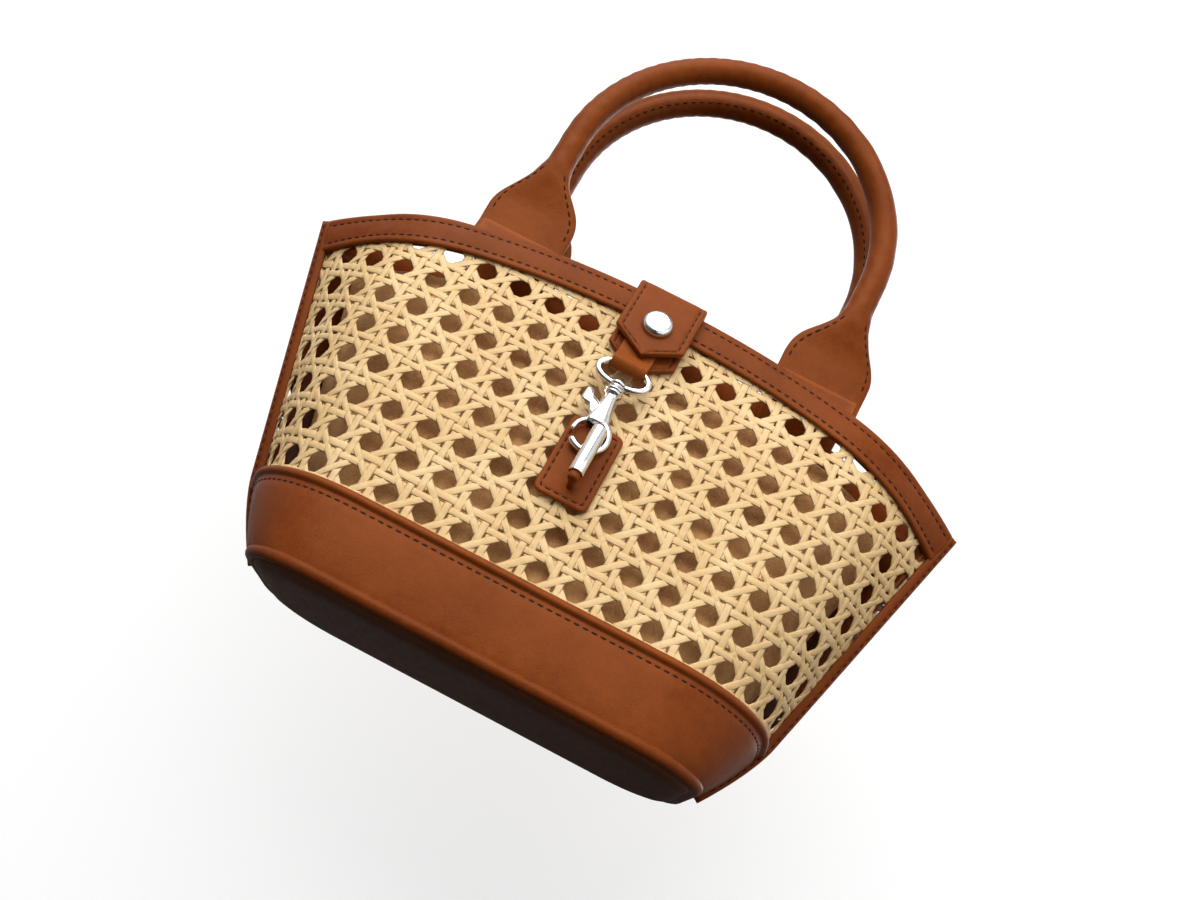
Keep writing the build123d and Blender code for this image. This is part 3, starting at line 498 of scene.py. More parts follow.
def finish(piece, look, body="bag", nodes=()):
    """Give a piece its material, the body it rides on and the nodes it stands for."""
    piece.data.materials.clear()
    piece.data.materials.append(look)
    if body:
        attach(piece, body)
    if nodes:
        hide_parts(*nodes)


# ------------------------------------------------------------------ camera
CAMERA_TARGET = np.array([1.4, 0.0, 108.6])
CAMERA_DISTANCE = 520.0
CAMERA_AZIMUTH, CAMERA_ELEVATION, CAMERA_ROLL = np.radians([3.9, -19.0, 28.4])

toward = np.array([np.cos(CAMERA_ELEVATION) * np.sin(CAMERA_AZIMUTH),
                   -np.cos(CAMERA_ELEVATION) * np.cos(CAMERA_AZIMUTH), np.sin(CAMERA_ELEVATION)])
level = unit(np.cross(-toward, (0, 0, 1)))
upright = np.cross(level, -toward)
camera_right = np.cos(CAMERA_ROLL) * level + np.sin(CAMERA_ROLL) * upright
camera_up = -np.sin(CAMERA_ROLL) * level + np.cos(CAMERA_ROLL) * upright
lens = bpy.data.cameras.new("camera")
lens.lens = 39.195
lens.sensor_width = 36.0
lens.clip_start = 0.01
camera = bpy.data.objects.new("camera", lens)
turned = Matrix([camera_right, camera_up, toward]).transposed().to_4x4()
turned.translation = Vector((CAMERA_TARGET + toward * CAMERA_DISTANCE) * MM)
camera.matrix_world = turned
bpy.context.scene.collection.objects.link(camera)
bpy.context.scene.camera = camera


# ------------------------------------------------------------------ stage and light
def one_sided(name, tone):
    """Pale surface that camera rays see only from its front, and nothing else meets."""
    made = bpy.data.materials.new(name)
    made.use_nodes = True
    tree = made.node_tree
    tree.nodes.clear()
    out = tree.nodes.new("ShaderNodeOutputMaterial")
    diffuse = node(tree, "ShaderNodeBsdfDiffuse", i_Color=(*tone, 1))
    glow = node(tree, "ShaderNodeEmission", i_Color=(1, 1, 1, 1), i_Strength=0.62)
    both = tree.nodes.new("ShaderNodeAddShader")
    tree.links.new(diffuse.outputs[0], both.inputs[0])
    tree.links.new(glow.outputs[0], both.inputs[1])
    clear = tree.nodes.new("ShaderNodeBsdfTransparent")
    rays = tree.nodes.new("ShaderNodeLightPath")
    facing = tree.nodes.new("ShaderNodeNewGeometry")
    mix = tree.nodes.new("ShaderNodeMixShader")
    seen = math(tree, "MULTIPLY", rays.outputs["Is Camera Ray"],
                math(tree, "SUBTRACT", 1.0, facing.outputs["Backfacing"]))
    tree.links.new(seen, mix.inputs[0])
    tree.links.new(clear.outputs[0], mix.inputs[1])
    tree.links.new(both.outputs[0], mix.inputs[2])
    tree.links.new(mix.outputs[0], out.inputs[0])
    return made


STAGE_WHITE = one_sided("stage_white", (0.40, 0.40, 0.40))
WIDE = 3000
FLOOR_Z, BACKDROP_Y = -0.2, 170
floor = make("floor", [(-WIDE, -WIDE, FLOOR_Z), (WIDE, -WIDE, FLOOR_Z), (WIDE, WIDE, FLOOR_Z),
                       (-WIDE, WIDE, FLOOR_Z)], [(0, 1, 2, 3)])
wall_back = make("backdrop", [(-WIDE, BACKDROP_Y, -WIDE), (WIDE, BACKDROP_Y, -WIDE), (WIDE, BACKDROP_Y, WIDE),
                              (-WIDE, BACKDROP_Y, WIDE)], [(0, 1, 2, 3)])
for sheet in (floor, wall_back):
    sheet.data.materials.append(STAGE_WHITE)

world = bpy.data.worlds.new("studio")
world.use_nodes = True
sky = world.node_tree
facing = sky.nodes.new("ShaderNodeTexCoord")
parts = sky.nodes.new("ShaderNodeSeparateXYZ")
sky.links.new(facing.outputs["Generated"], parts.inputs[0])
climb = span(sky, parts.outputs["Z"], -0.35, 0.75, 0.10, 0.95)
off_middle = math(sky, "ABSOLUTE", math(sky, "SUBTRACT", parts.outputs["X"], 0.15))
sweep = span(sky, off_middle, 0.05, 0.55, 0.35, 1.0)
sky.links.new(math(sky, "MULTIPLY", climb, sweep), sky.nodes["Background"].inputs[1])
sky.nodes["Background"].inputs[0].default_value = (1, 1, 1, 1)
bpy.context.scene.world = world
bpy.context.scene.view_settings.view_transform = "Standard"


def lamp(name, at, to, size, power):
    """A soft square light at one point, turned towards another, both in millimetres."""
    light = bpy.data.lights.new(name, "AREA")
    light.shape = "SQUARE"
    light.size = size
    light.energy = power
    held = bpy.data.objects.new(name, light)
    held.location = Vector(at) * MM
    held.rotation_euler = (Vector(to) - Vector(at)).to_track_quat("-Z", "Y").to_euler()
    bpy.context.scene.collection.objects.link(held)


lamp("key_light", (-300, -900, 950), (0, 0, 90), 1.4, 24.0)
lamp("fill_light", (800, -900, 200), (0, 0, 90), 1.4, 5.0)
lamp("rear_light", (300, 900, 700), (0, 0, 100), 1.2, 8.0)


# ------------------------------------------------------------------ woven cane
def face_length(z):
    """Length up the sloping front face from the ground to height z."""
    heights = np.linspace(-10, 190, 800)
    step = np.hypot(np.gradient(heights), np.gradient(half_depth(heights)))
    lengths = np.cumsum(step) - step[0]
    return np.interp(z, heights, lengths)


HEIGHTS = np.linspace(0, 182, 1200)
LENGTHS = face_length(HEIGHTS)


def cane_wall(u, v, out, side, shift_u, shift_v):
    """Place sheet coordinates (u across, v up the face, hole centres on whole pitches) on the wall."""
    z = np.interp(v + shift_v, LENGTHS, HEIGHTS)
    return wall(u + shift_u, z, out, side)


def cane_panel(name, side, shift_u, shift_v, pitch=CANE_PITCH):
    """Six-way weave: pairs of uprights and pairs of level strands in plain weave, and single strands
    on both diagonals, lying under one set and over the other. Each strand is a crowned ribbon whose
    middle line rises and dips by a smooth bump at each crossing."""
    apart = 0.122 * pitch
    wide, thick, lift, reach = 3.0, 0.42, 0.33, 1.9
    step, half_sheet = 1.5, 175.0
    profile = np.array([(-0.5, -0.25), (-0.34, 0.34), (0.0, 0.5), (0.34, 0.34), (0.5, -0.25), (0.0, -0.5)])
    s2 = np.sqrt(0.5)
    strands = []
    for k in range(-13, 13):
        for sign in (-1, 1):
            c = (k + 0.5) * pitch + sign * apart
            strands.append(("up", c, k, sign))
            strands.append(("level", c, k, sign))
        strands.append(("rise", (k + 0.5) * pitch, k, 0))
        strands.append(("fall", (k + 0.5) * pitch, k, 0))
    top_length, low_length = float(face_length(RIM_TOP)) - 4, float(face_length(28.0))
    points, faces, uvs, base = [], [], [], 0
    rng = np.random.default_rng(5 if side < 0 else 9)

    def bumps(at, crossings, signs):
        """Sum of smooth bumps: raised cosines at the crossings, each with its sign."""
        d = (at[:, None] - crossings[None]) / reach
        return (np.where(np.abs(d) < 1, 0.5 + 0.5 * np.cos(np.pi * np.clip(d, -1, 1)), 0) * signs).sum(1)

    ks = np.arange(-30, 31)
    pair = np.concatenate([(ks + 0.5) * pitch - apart, (ks + 0.5) * pitch + apart])
    parity = np.concatenate([2 * ks, 2 * ks + 1])
    single = (ks + 0.5) * pitch
    for kind, c, k, sign in strands:
        own = 2 * k + (sign > 0)
        if kind == "up":
            t = np.arange(low_length - shift_v, top_length - shift_v, step)
            u, v, du, dv = np.full_like(t, c), t, 0.0, 1.0
            h = bumps(t, pair, np.where((parity + own) % 2 == 0, 1, -1))
            h += bumps(t, single + c, -0.9) + bumps(t, single - c, 0.9)
        elif kind == "level":
            t = np.arange(-half_sheet, half_sheet, step)
            u, v, du, dv = t, np.full_like(t, c), 1.0, 0.0
            h = bumps(t, pair, np.where((parity + own) % 2 == 0, -1, 1))
            h += bumps(t, c - single, 0.9) + bumps(t, single - c, -0.9)
        elif kind == "rise":
            t = np.arange(-half_sheet, half_sheet, step * s2)
            u, v, du, dv = t, t + c, s2, s2
            h = bumps(t, pair, 1.1) - bumps(t, pair - c, 1.1)
            h += bumps(t, (single - c) / 2, 0.5)
        else:
            t = np.arange(-half_sheet, half_sheet, step * s2)
            u, v, du, dv = t, c - t, s2, -s2
            h = -bumps(t, pair, 1.1) + bumps(t, c - pair, 1.1)
            h -= bumps(t, (c - single) / 2, 0.5)
        h = np.clip(h, -1.25, 1.25) * lift
        z = np.interp(v + shift_v, LENGTHS, HEIGHTS)
        place = u + shift_u
        inside = (v + shift_v < top_length + 2) & (v + shift_v > low_length - 2)
        inside &= np.abs(place) < girth(z) + 0.5
        across_x = np.abs(wall(place, z, 0)[:, 0])
        inside &= (z > band_z(across_x) - 4) & (z < rim_z(across_x) - RIM_BAND + 4)
        where = np.flatnonzero(inside)
        if len(where) < 3:
            continue
        u, v, h = u[where], v[where], h[where]
        width = wide * (1 + 0.05 * rng.normal()) * np.ones(len(u))
        drift = 0.12 * np.sin(v * 0.05 + u * 0.06 + rng.uniform(0, 6.28)) + 0.1 * rng.normal()
        cu = u[:, None] + (drift * dv)[:, None] + profile[None, :, 0] * width[:, None] * dv
        cv = v[:, None] - (drift * du)[:, None] - profile[None, :, 0] * width[:, None] * du
        ch = -0.75 + h[:, None] + profile[None, :, 1] * thick
        grid = cane_wall(cu, cv, ch, side, shift_u, shift_v)
        points.append(grid.reshape(-1, 3))
        n, m = grid.shape[:2]
        quads = grid_faces(n, m, wrap_columns=True, start=base, flip=side > 0)
        faces += quads.tolist()
        first, last = base + np.arange(m), base + (n - 1) * m + np.arange(m)
        faces += [first.tolist()[:: -1 if side < 0 else 1], last.tolist()[:: 1 if side < 0 else -1]]
        along = np.arange(n) * step + 37.0 * len(points)
        aside = profile[None, :, 0] * wide + 5.0 * len(points)
        uvs.append(np.stack(np.broadcast_arrays(along[:, None], aside), -1).reshape(-1, 2))
        base += n * m
    return settle(make(name, np.concatenate(points), faces, np.concatenate(uvs)))


FRONT_PHASE = (5.4, float(face_length(101.4)))
REAR_PHASE = (-2.0, float(face_length(98.0)))
front_cane = cane_panel("front_woven_cane", -1, *FRONT_PHASE)
rear_cane = cane_panel("rear_woven_cane", 1, *REAR_PHASE)
finish(front_cane, STRAW, nodes=["front_cane_panel"])
finish(rear_cane, STRAW, nodes=["rear_cane_panel"])

# ------------------------------------------------------------------ leather bands
GROOVE = 0.28
WELT = 3.6
RIM_PROFILE = [
    (14.0, 0.0), (14.2, 1.0), (13.7, 1.75), (12.8, 1.9), (11.9, 1.65), (11.2, 1.9 - GROOVE), (10.5, 1.75),
    (9.0, 1.95), (6.8, 2.0), (5.0, 1.95), (3.9, 1.75), (3.2, 1.9 - GROOVE), (2.5, 1.8), (1.4, 1.85),
    (0.5, 1.6), (0.05, 0.9), (0.0, -0.6), (0.1, -2.0), (0.7, -2.7), (2.6, -2.85), (3.2, -2.65), (3.9, -2.85),
    (10.4, -2.85), (11.2, -2.65), (12.0, -2.85), (13.4, -2.8), (13.9, -2.2), (13.8, -1.3),
]
RIM_SHARES = shared_edges(0.996, 261)


def low_place(share, height, out, side):
    """Lower band point: height counts from the piping up to 1 at the welt's root, above 1 on the welt."""
    top = band_z(share * BAND_HALF_WIDTH)
    root = top - WELT
    z = np.where(height <= 1, PIPING_Z + (root - PIPING_Z) * height, root + (height - 1) * WELT)
    return wall(share * girth(z), z, out, side)


LOW_PROFILE = [
    (0.0, 0.1), (0.0, 1.2), (0.05, 1.7), (0.15, 2.0), (0.35, 2.25), (0.6, 2.3), (0.8, 2.15), (0.88, 2.0),
    (0.925, 1.9 - GROOVE), (0.97, 1.8), (1.0, 1.5), (1.12, 2.3), (1.35, 2.95), (1.6, 3.0), (1.85, 2.45),
    (2.0, 1.2), (2.0, 0.2), (1.0, 0.05),
]
LOW_SHARES = shared_edges(0.985, 221)


def run_with_normal(place, share, height, out, side):
    """A path on the wall and its outward normal, from two nearby depths."""
    a, b = place(share, height, out, side), place(share, height, out + 1.0, side)
    return a, b - a


for side, word in ((-1, "front"), (1, "rear")):
    rim = band(f"{word}_rim_leather", side, RIM_PROFILE, RIM_SHARES, rim_path)
    finish(rim, SADDLE, nodes=[f"{word}_rim_band"])
    low = band(f"{word}_lower_leather", side, LOW_PROFILE, LOW_SHARES, low_place)
    finish(low, SADDLE, nodes=[f"{word}_lower_band"])
    fine = np.linspace(-0.985, 0.985, 700)
    for drop, label in ((3.2, "upper"), (11.2, "lower")):
        run = run_with_normal(rim_path, fine, drop, 1.72, side)
        finish(stitch_row(f"{word}_rim_stitches_{label}", *run), THREAD)
    fine = np.linspace(-0.975, 0.975, 700)
    run = run_with_normal(low_place, fine, 0.925, 1.75, side)
    finish(stitch_row(f"{word}_band_stitches", *run), THREAD)


# ------------------------------------------------------------------ side bindings
def binding(name, end):
    """Folded strip along the seam: a rounded, slightly pinched profile carried up the seam line."""
    z = np.linspace(5.6, RIM_END - 0.6, 90)
    profile = rounded([(-1.4, -2.0), (1.2, -2.1), (1.7, -1.5), (2.9, -1.5), (3.3, -0.8), (3.3, 0.8),
                       (2.9, 1.5), (1.7, 1.5), (1.2, 2.1), (-1.4, 2.0)], 0.5, 3)
    slope = np.gradient(half_length(z), z)
    nx, nz = 1 / np.hypot(1, slope), -slope / np.hypot(1, slope)
    x = half_length(z)[:, None] + profile[None, :, 0] * nx[:, None]
    zz = z[:, None] + profile[None, :, 0] * nz[:, None]
    y = np.broadcast_to(profile[None, :, 1], x.shape)
    return lofted(name, np.stack([end * x, y, zz], -1))


for end, word in ((-1, "left"), (1, "right")):
    finish(binding(f"{word}_seam_binding", end), TRIM, nodes=[f"{word}_side_binding"])
    z = np.linspace(9, RIM_END - 2.0, 400)
    for face, label in ((-1, "front"), (1, "rear")):
        path = np.stack([end * (half_length(z) + 2.2), np.full_like(z, face * 1.5), z], -1)
        normal = np.broadcast_to((0.0, float(face), 0.0), path.shape)
        finish(stitch_row(f"{word}_seam_stitches_{label}", path, normal), THREAD)


def seam_lining(name, end):
    """Strip of leather lying inside the rear wall beside the seam: a thin closed profile carried up."""
    z = np.linspace(16, RIM_END - 9, 60)
    inward = np.r_[np.linspace(28, 1.5, 16), np.linspace(1.5, 28, 16)]
    depth = np.r_[np.full(16, -2.6), np.full(16, -3.4)]
    from_middle = end * (girth(z)[:, None] - inward[None])
    return lofted(name, wall(from_middle, z[:, None] + 0 * inward[None], depth[None], 1))


for end, word in ((-1, "left"), (1, "right")):
    finish(seam_lining(f"{word}_seam_lining", end), TRIM)


# ------------------------------------------------------------------ base
BASE_RUN, BASE_RISE, BASE_CORNER = 59.5, 21.0, 30.0


def oval(inset, height, count=240):
    """Rounded rectangle round the base, moved inward by inset, at one height."""
    run, rise, r = BASE_RUN, BASE_RISE, BASE_CORNER - inset
    lengths = np.array([2 * rise, r * np.pi / 2, 2 * run, r * np.pi / 2] * 2)
    ends = np.r_[0, np.cumsum(lengths)]
    s = np.linspace(0, 1, count, endpoint=False) * ends[-1]
    leg = np.clip(np.searchsorted(ends, s, side="right") - 1, 0, 7)
    f = (s - ends[leg]) / lengths[leg]
    corner = np.array([(run, rise), (-run, rise), (-run, -rise), (run, -rise)])
    quarter = leg // 2
    arc = leg % 2 == 1
    angle = quarter * np.pi / 2 + np.where(arc, f * np.pi / 2, 0.0)
    centre, last = corner[quarter], corner[(quarter - 1) % 4]
    centre = np.where(arc[:, None], centre, last + (centre - last) * f[:, None])
    return np.c_[centre + np.stack([np.cos(angle), np.sin(angle)], -1) * r, np.full(count, height)]


piping = tube("base_welt", oval(0.0, PIPING_Z), 2.4, 18, around=(0, 0, 1), closed=True)
finish(piping, TRIM, nodes=["base_piping"])


def base_pad():
    """Padded base: rings of the rounded rectangle shrinking to the middle, the underside bulging
    down to the ground and easing up to the welt."""
    insets = np.array([0.9, 1.4, 2.2, 3.4, 5.0, 7.5, 11.0, 15.0, 19.0, 23.0, 26.5])
    rise = np.array([5.4, 3.3, 2.1, 1.35, 0.8, 0.35, 0.1, 0.02, 0.0, 0.0, 0.0])
    top = [oval(20.0, 7.0), oval(3.0, 7.0), oval(0.9, 6.9)]
    under = [oval(i, h) for i, h in zip(insets, rise)]
    return lofted("base_cushion", np.stack(top + under + [under[-1] * (0.5, 0.4, 1)]))


pad = base_pad()
finish(pad, BASE_LEATHER, nodes=["base_panel"])


# ------------------------------------------------------------------ inner pouch
POUCH_INSET, POUCH_FLOOR = 14.5, 9.3
HEM_FRONT, HEM_REAR, HEM_END = 27.0, 16.0, 21.5


def pouch():
    """Loose bag of cloth: the wall's outline pulled in, its skin wrinkled by a few smooth waves, the
    hem turned over at the mouth, and a floor closed by shrinking rings."""
    share = np.linspace(-1, 1, 160, endpoint=False) + 1.0 / 160

    def loop(height, out):
        """One ring round the pouch at a height share, moved out."""
        halves = []
        for side in (-1, 1):
            f = share if side < 0 else share[::-1]
            x = f * RIM_HALF_WIDTH * 0.86
            below = HEM_FRONT if side < 0 else HEM_REAR
            top = rim_z(x) - (below + (HEM_END - below) * np.abs(f) ** 6)
            z = POUCH_FLOOR + (top - POUCH_FLOOR) * height
            a = half_length(z)
            px, py, _ = across(f * (a - POUCH_INSET), z, 0.0, side).T
            lean = np.abs(f) ** 4
            closing = np.sqrt(np.maximum(0, 1 - np.abs(f) ** 9))
            y = side * np.maximum(np.abs(py) - 7.6 - 3 * lean, 0.0) * closing
            wave = (0.9 * np.sin(px * 0.11 + z * 0.05 + 1.3 * side) + 0.6 * np.sin(px * 0.23 - z * 0.13)
                    + 0.5 * np.sin(z * 0.21 + side + px * 0.07)) * (1 - lean)
            halves.append(np.stack([f * (a - POUCH_INSET + out), y + side * (out + wave * 0.9), z], -1))
        return np.concatenate(halves)

    rows = [loop(h, 0.0) for h in np.linspace(0.0, 1.0, 46)]
    rows += [loop(h, out) for h, out in ((1.005, -0.5), (1.0, -1.4), (0.985, -1.6))]
    rows += [loop(h, -1.4) for h in np.linspace(0.95, 0.015, 20)]
    shrink = (0.55, 0.55, 1)
    return lofted("pouch_cloth", np.stack([rows[0] * shrink] + rows + [rows[-1] * shrink]))


cloth = pouch()
finish(cloth, SUEDE, nodes=["inner_pouch"])

# ------------------------------------------------------------------ handles
FOLD_Y = 12.525
FLARE_Z = (150, 176, 181, 186, 190.5, 194.5, 198.5, 202, 206, 210, 230)
FLARE_HALF = (17.9, 18.8, 18.7, 17.3, 14.4, 11.3, 8.8, 7.3, 6.2, 5.65, 5.62)
SPAN = 69.0
ARCH_Z = 222.0
LEG_POINTS, ARCH_POINTS = 69, 120
GRIP_SEAM_RADIUS, GRIP_SEAM_ANGLE = 5.75, 1.12


def handle_frames():
    """Middle line of one handle from its left root up round the arch to its right root, with the
    half width and half thickness of its cross-section there."""
    z = np.r_[np.linspace(154, 168, 6), np.linspace(169, 212, 57), np.linspace(213, 221, 6)]
    lean = np.clip((z - 180) / 24, 0, 1)
    x = -67.5 - 1.5 * lean * lean * (3 - 2 * lean)
    arc = np.linspace(0, np.pi, ARCH_POINTS)
    left = np.stack([x, z], -1)
    middle = np.stack([-SPAN * np.cos(arc), ARCH_Z + SPAN * np.sin(arc)], -1)
    right = left[::-1] * (-1, 1)
    path = np.concatenate([left, middle, right])
    half = np.mean([np.interp(z + d, FLARE_Z, FLARE_HALF) for d in (-2.4, -1.2, 0, 1.2, 2.4)], axis=0)
    g = np.clip((z - 182) / 25, 0, 1)
    thick = 1.55 + (5.6 - 1.55) * g * g * (3 - 2 * g)
    half = np.r_[half, np.full(ARCH_POINTS, 5.62), half[::-1]]
    thick = np.r_[thick, np.full(ARCH_POINTS, 5.6), thick[::-1]]
    return path, half, thick


def handle(name, side):
    """Rolled handle: a superellipse, flat and wide at the tabs and round on the arch, carried along
    the middle line, with a pinched seam ridge on the side that faces inward."""
    path, half, thick = handle_frames()
    tangent = unit(np.gradient(path, axis=0))
    normal = np.stack([-tangent[:, 1], tangent[:, 0]], -1)
    a = np.linspace(0, 2 * np.pi, 56, endpoint=False)
    flat = np.clip((half - thick) / 14.0, 0, 1)
    power = 2 / (2.0 + 2.2 * flat)
    c, s = powered(np.cos(a)[None], power[:, None]), powered(np.sin(a)[None], power[:, None])
    root_y = np.interp(path[:, 1], (154, 170, 174), (half_depth(154.0) - 4.4, FOLD_Y + 0.1, FOLD_Y))
    rolled = 1 - flat
    wrinkle = 0.12 * rolled[:, None] * np.sin(path[:, 0] * 0.9 + path[:, 1] * 0.7)[:, None] * np.sin(3 * a)[None]
    ridge = rolled[:, None] * 0.9 * np.exp(-(((a[None] - 0.78) / 0.17) ** 2))
    for groove_angle in (GRIP_SEAM_ANGLE, 0.44):
        ridge -= rolled[:, None] * 0.35 * np.exp(-(((a[None] - groove_angle) / 0.13) ** 2))
    ring_x = (half[:, None] + wrinkle + ridge) * c
    ring_y = (thick[:, None] + wrinkle + ridge) * s
    x = path[:, 0, None] + normal[:, 0, None] * ring_x
    z = path[:, 1, None] + normal[:, 1, None] * ring_x
    y = root_y[:, None] - ring_y
    return lofted(name, np.stack([x, side * y, z], -1))


def tab_line(end, inset):
    """The tab's outer and inner edges moved in by inset, each as x and height."""
    path, half, _ = handle_frames()
    keep = (path[:, 0] < 0) & (path[:, 1] > 168) & (path[:, 1] < 203)
    (x, z), edge = path[keep].T, half[keep] - inset
    mirror = 1 if end < 0 else -1
    return (mirror * (x - edge), z), (mirror * (x + edge)[::-1], z[::-1])


def front_of_tab(z, x):
    """Depth of the tab's skin over the fold plane at a point, from the same superellipse."""
    path, half, thick = handle_frames()
    h, t, cx = sampled(z, path[:LEG_POINTS, 1], np.c_[half, thick, path[:, 0]][:LEG_POINTS]).T
    n = 2.0 + 2.2 * np.clip((h - t) / 14.0, 0, 1)
    f = np.clip(np.abs(np.abs(x) - np.abs(cx)) / h, 0, 0.999)
    return t * (1 - f ** n) ** (1 / n)


def hoop(radius, y):
    """Line up one side of a handle, round its arch and down the other, all at one depth."""
    arc, leg = np.linspace(0.02, np.pi - 0.02, 500), np.linspace(206, 221, 30)
    x = np.r_[np.full(30, -radius), -radius * np.cos(arc), np.full(30, radius)]
    return np.stack([x, np.full(len(x), y), np.r_[leg, ARCH_Z + radius * np.sin(arc), leg[::-1]]], -1)


for side, word in ((-1, "front"), (1, "rear")):
    grip = handle(f"{word}_rolled_handle", side)
    finish(grip, HANDLE_LEATHER, None, nodes=[f"{word}_handle"])
    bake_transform(grip)
    for end, tag in ((-1, "left"), (1, "right")):
        for label, (x, z) in zip(("outer", "inner"), tab_line(end, 2.6)):
            keep = z > 175.5
            x, z = x[keep], z[keep]
            depth = front_of_tab(z, x)
            for face, tone in ((1, "face"), (-1, "back")):
                path = np.stack([x, side * (FOLD_Y + face * (depth + 0.05)), z], -1)
                normal = np.broadcast_to((0.0, float(side * face), 0.0), path.shape)
                row = stitch_row(f"{word}_tab_stitches_{tag}_{label}_{tone}", path, normal)
                finish(row, THREAD, f"{word}_handle")
    path = hoop(SPAN - GRIP_SEAM_RADIUS * np.cos(GRIP_SEAM_ANGLE),
                side * (FOLD_Y - GRIP_SEAM_RADIUS * np.sin(GRIP_SEAM_ANGLE)))
    outward = path - hoop(SPAN, side * FOLD_Y)
    row = stitch_row(f"{word}_grip_stitches", path, outward, gap=1.4, long=2.4, wide=0.7)
    finish(row, THREAD, f"{word}_handle")


# ------------------------------------------------------------------ flat leather: strap, tab and patch
STRAP_TIP_Z, STRAP_HALF, STRAP_SEAM = 138.6, 14.7, 2.6
UNDER_TIP_Z, UNDER_HALF, UNDER_SEAM = 132.0, 14.2, 2.4


def flat_strip(name, centre, normal, half, thick, seam, groove=0.32):
    """A padded strip of leather: each row is a rounded slab of the given half width whose outer face
    dips in a groove at the seam and swells a little on both sides of it."""
    inset = np.array([0.0, 0.12, 0.45, 0.9, 1.5, seam - 0.55, seam, seam + 0.55, seam + 1.4, seam + 3.0])
    rise = np.array([0.0, 0.62, 0.9, 1.0, 1.02, 0.97, 1.0 - groove, 0.98, 1.04, 1.06])
    grid = []
    for c, n, h in zip(centre, normal, half):
        u = h - np.minimum(inset * min(1.0, h / 6.0), h)
        top = thick / 2 * rise
        face = np.r_[u, 0.0, -u[::-1]], np.r_[top, 1.06 * thick / 2, top[::-1]]
        under = np.r_[-h + 0.5 * min(1, h), 0.0, h - 0.5 * min(1, h)], np.full(3, -thick / 2)
        u, w = np.r_[face[0], under[0]], np.r_[face[1], under[1]]
        grid.append(c[None] + u[:, None] * np.array([[1.0, 0.0, 0.0]]) + w[:, None] * n[None])
    return lofted(name, np.array(grid))


def strap_line():
    """Side view of the closure strap from its point up the front, over the mouth and down inside the
    rear rim: straight pieces joined by round corners."""
    def front(z):
        """Depth of the strap's middle in front of the mouth at height z."""
        return -half_depth(z) - (6.8 + (4.9 - 6.8) * (z - STRAP_TIP_Z) / (RIM_TOP - STRAP_TIP_Z))

    over = RIM_TOP + 1.5
    corners = np.array([(front(z), z) for z in (STRAP_TIP_Z, 148.0, 158.0, 168.0)] + [
        (front(RIM_TOP), over), (9.6, over + 0.4), (12.6, 166.0), (half_depth(160.0) - 4.5, 160.0)])
    out = [corners[0]]
    for k in range(1, len(corners) - 1):
        a, b, c = corners[k - 1], corners[k], corners[k + 1]
        r = min(3.4, 0.4 * np.linalg.norm(a - b), 0.4 * np.linalg.norm(c - b))
        s, e = b + unit(a - b) * r, b + unit(c - b) * r
        out += [(1 - t) ** 2 * s + 2 * t * (1 - t) * b + t ** 2 * e for t in np.linspace(0, 1, 9)]
    out.append(corners[-1])
    out = np.array(out)
    length = path_lengths(out)
    at = np.r_[np.linspace(0, 12, 26), np.linspace(12.6, length[-1], 90)]
    return sampled(at, length, out), at


def pointed(at, wide, corner_at):
    """Half width from a point: rising straight to full width at corner_at, its corners eased."""
    f = np.clip(at / corner_at, 0, 1.3)
    return wide * np.minimum(1.0, np.maximum(0.02, np.where(f < 0.93, f * 1.015, 0.944 + (f - 0.93) * 0.75)))


line, at = strap_line()
tangent = unit(np.gradient(line, axis=0))
strap_normal = np.stack([np.zeros(len(line)), tangent[:, 1] * -1, tangent[:, 0]], -1)
strap_half = pointed(at, STRAP_HALF, 9.6)
strap = flat_strip("closure_flap", np.c_[np.zeros(len(line)), line], strap_normal, strap_half, 2.6, STRAP_SEAM)
finish(strap, SADDLE, nodes=["closure_strap"])

keep = (at > 3.4) & (at < at[-1] - 6)
left = np.c_[-(strap_half[keep] - STRAP_SEAM), line[keep]]
lift = strap_normal[keep] * 1.02
start = np.searchsorted(at, 3.0)
start_point = np.array([[0.0, *line[start]]])
start_lift = strap_normal[start][None] * 1.02
for mirror_x, word in ((1, "left"), (-1, "right")):
    path = np.concatenate([start_point + start_lift, left * (mirror_x, 1, 1) + lift])
    finish(stitch_row(f"flap_stitches_{word}", path, np.concatenate([start_lift, lift])), THREAD)


def tilt(z):
    """Unit directions up the face and out of it at height z."""
    slope = (half_depth(z + 1) - half_depth(z - 1)) / 2
    up = unit(np.array([0.0, -slope, 1.0]))
    return up, unit(np.array([0.0, -1.0, -slope]))


z = np.r_[np.linspace(UNDER_TIP_Z, 142.0, 24), np.linspace(142.6, 158.6, 26)]
centre = np.stack([np.zeros_like(z), -half_depth(z) - 1.4, z], -1)
normals = np.array([tilt(v)[1] for v in z])
under_half = pointed(z - UNDER_TIP_Z, UNDER_HALF, 9.2)
finish(flat_strip("under_flap", centre, normals, under_half, 2.5, UNDER_SEAM), SADDLE, nodes=["under_tab"])
keep = z > 135.0
for mirror_x, word in ((1, "left"), (-1, "right")):
    path = np.stack([-mirror_x * (under_half[keep] - UNDER_SEAM), -half_depth(z[keep]) - 2.36, z[keep]], -1)
    finish(stitch_row(f"under_flap_stitches_{word}", path, normals[keep]), THREAD)


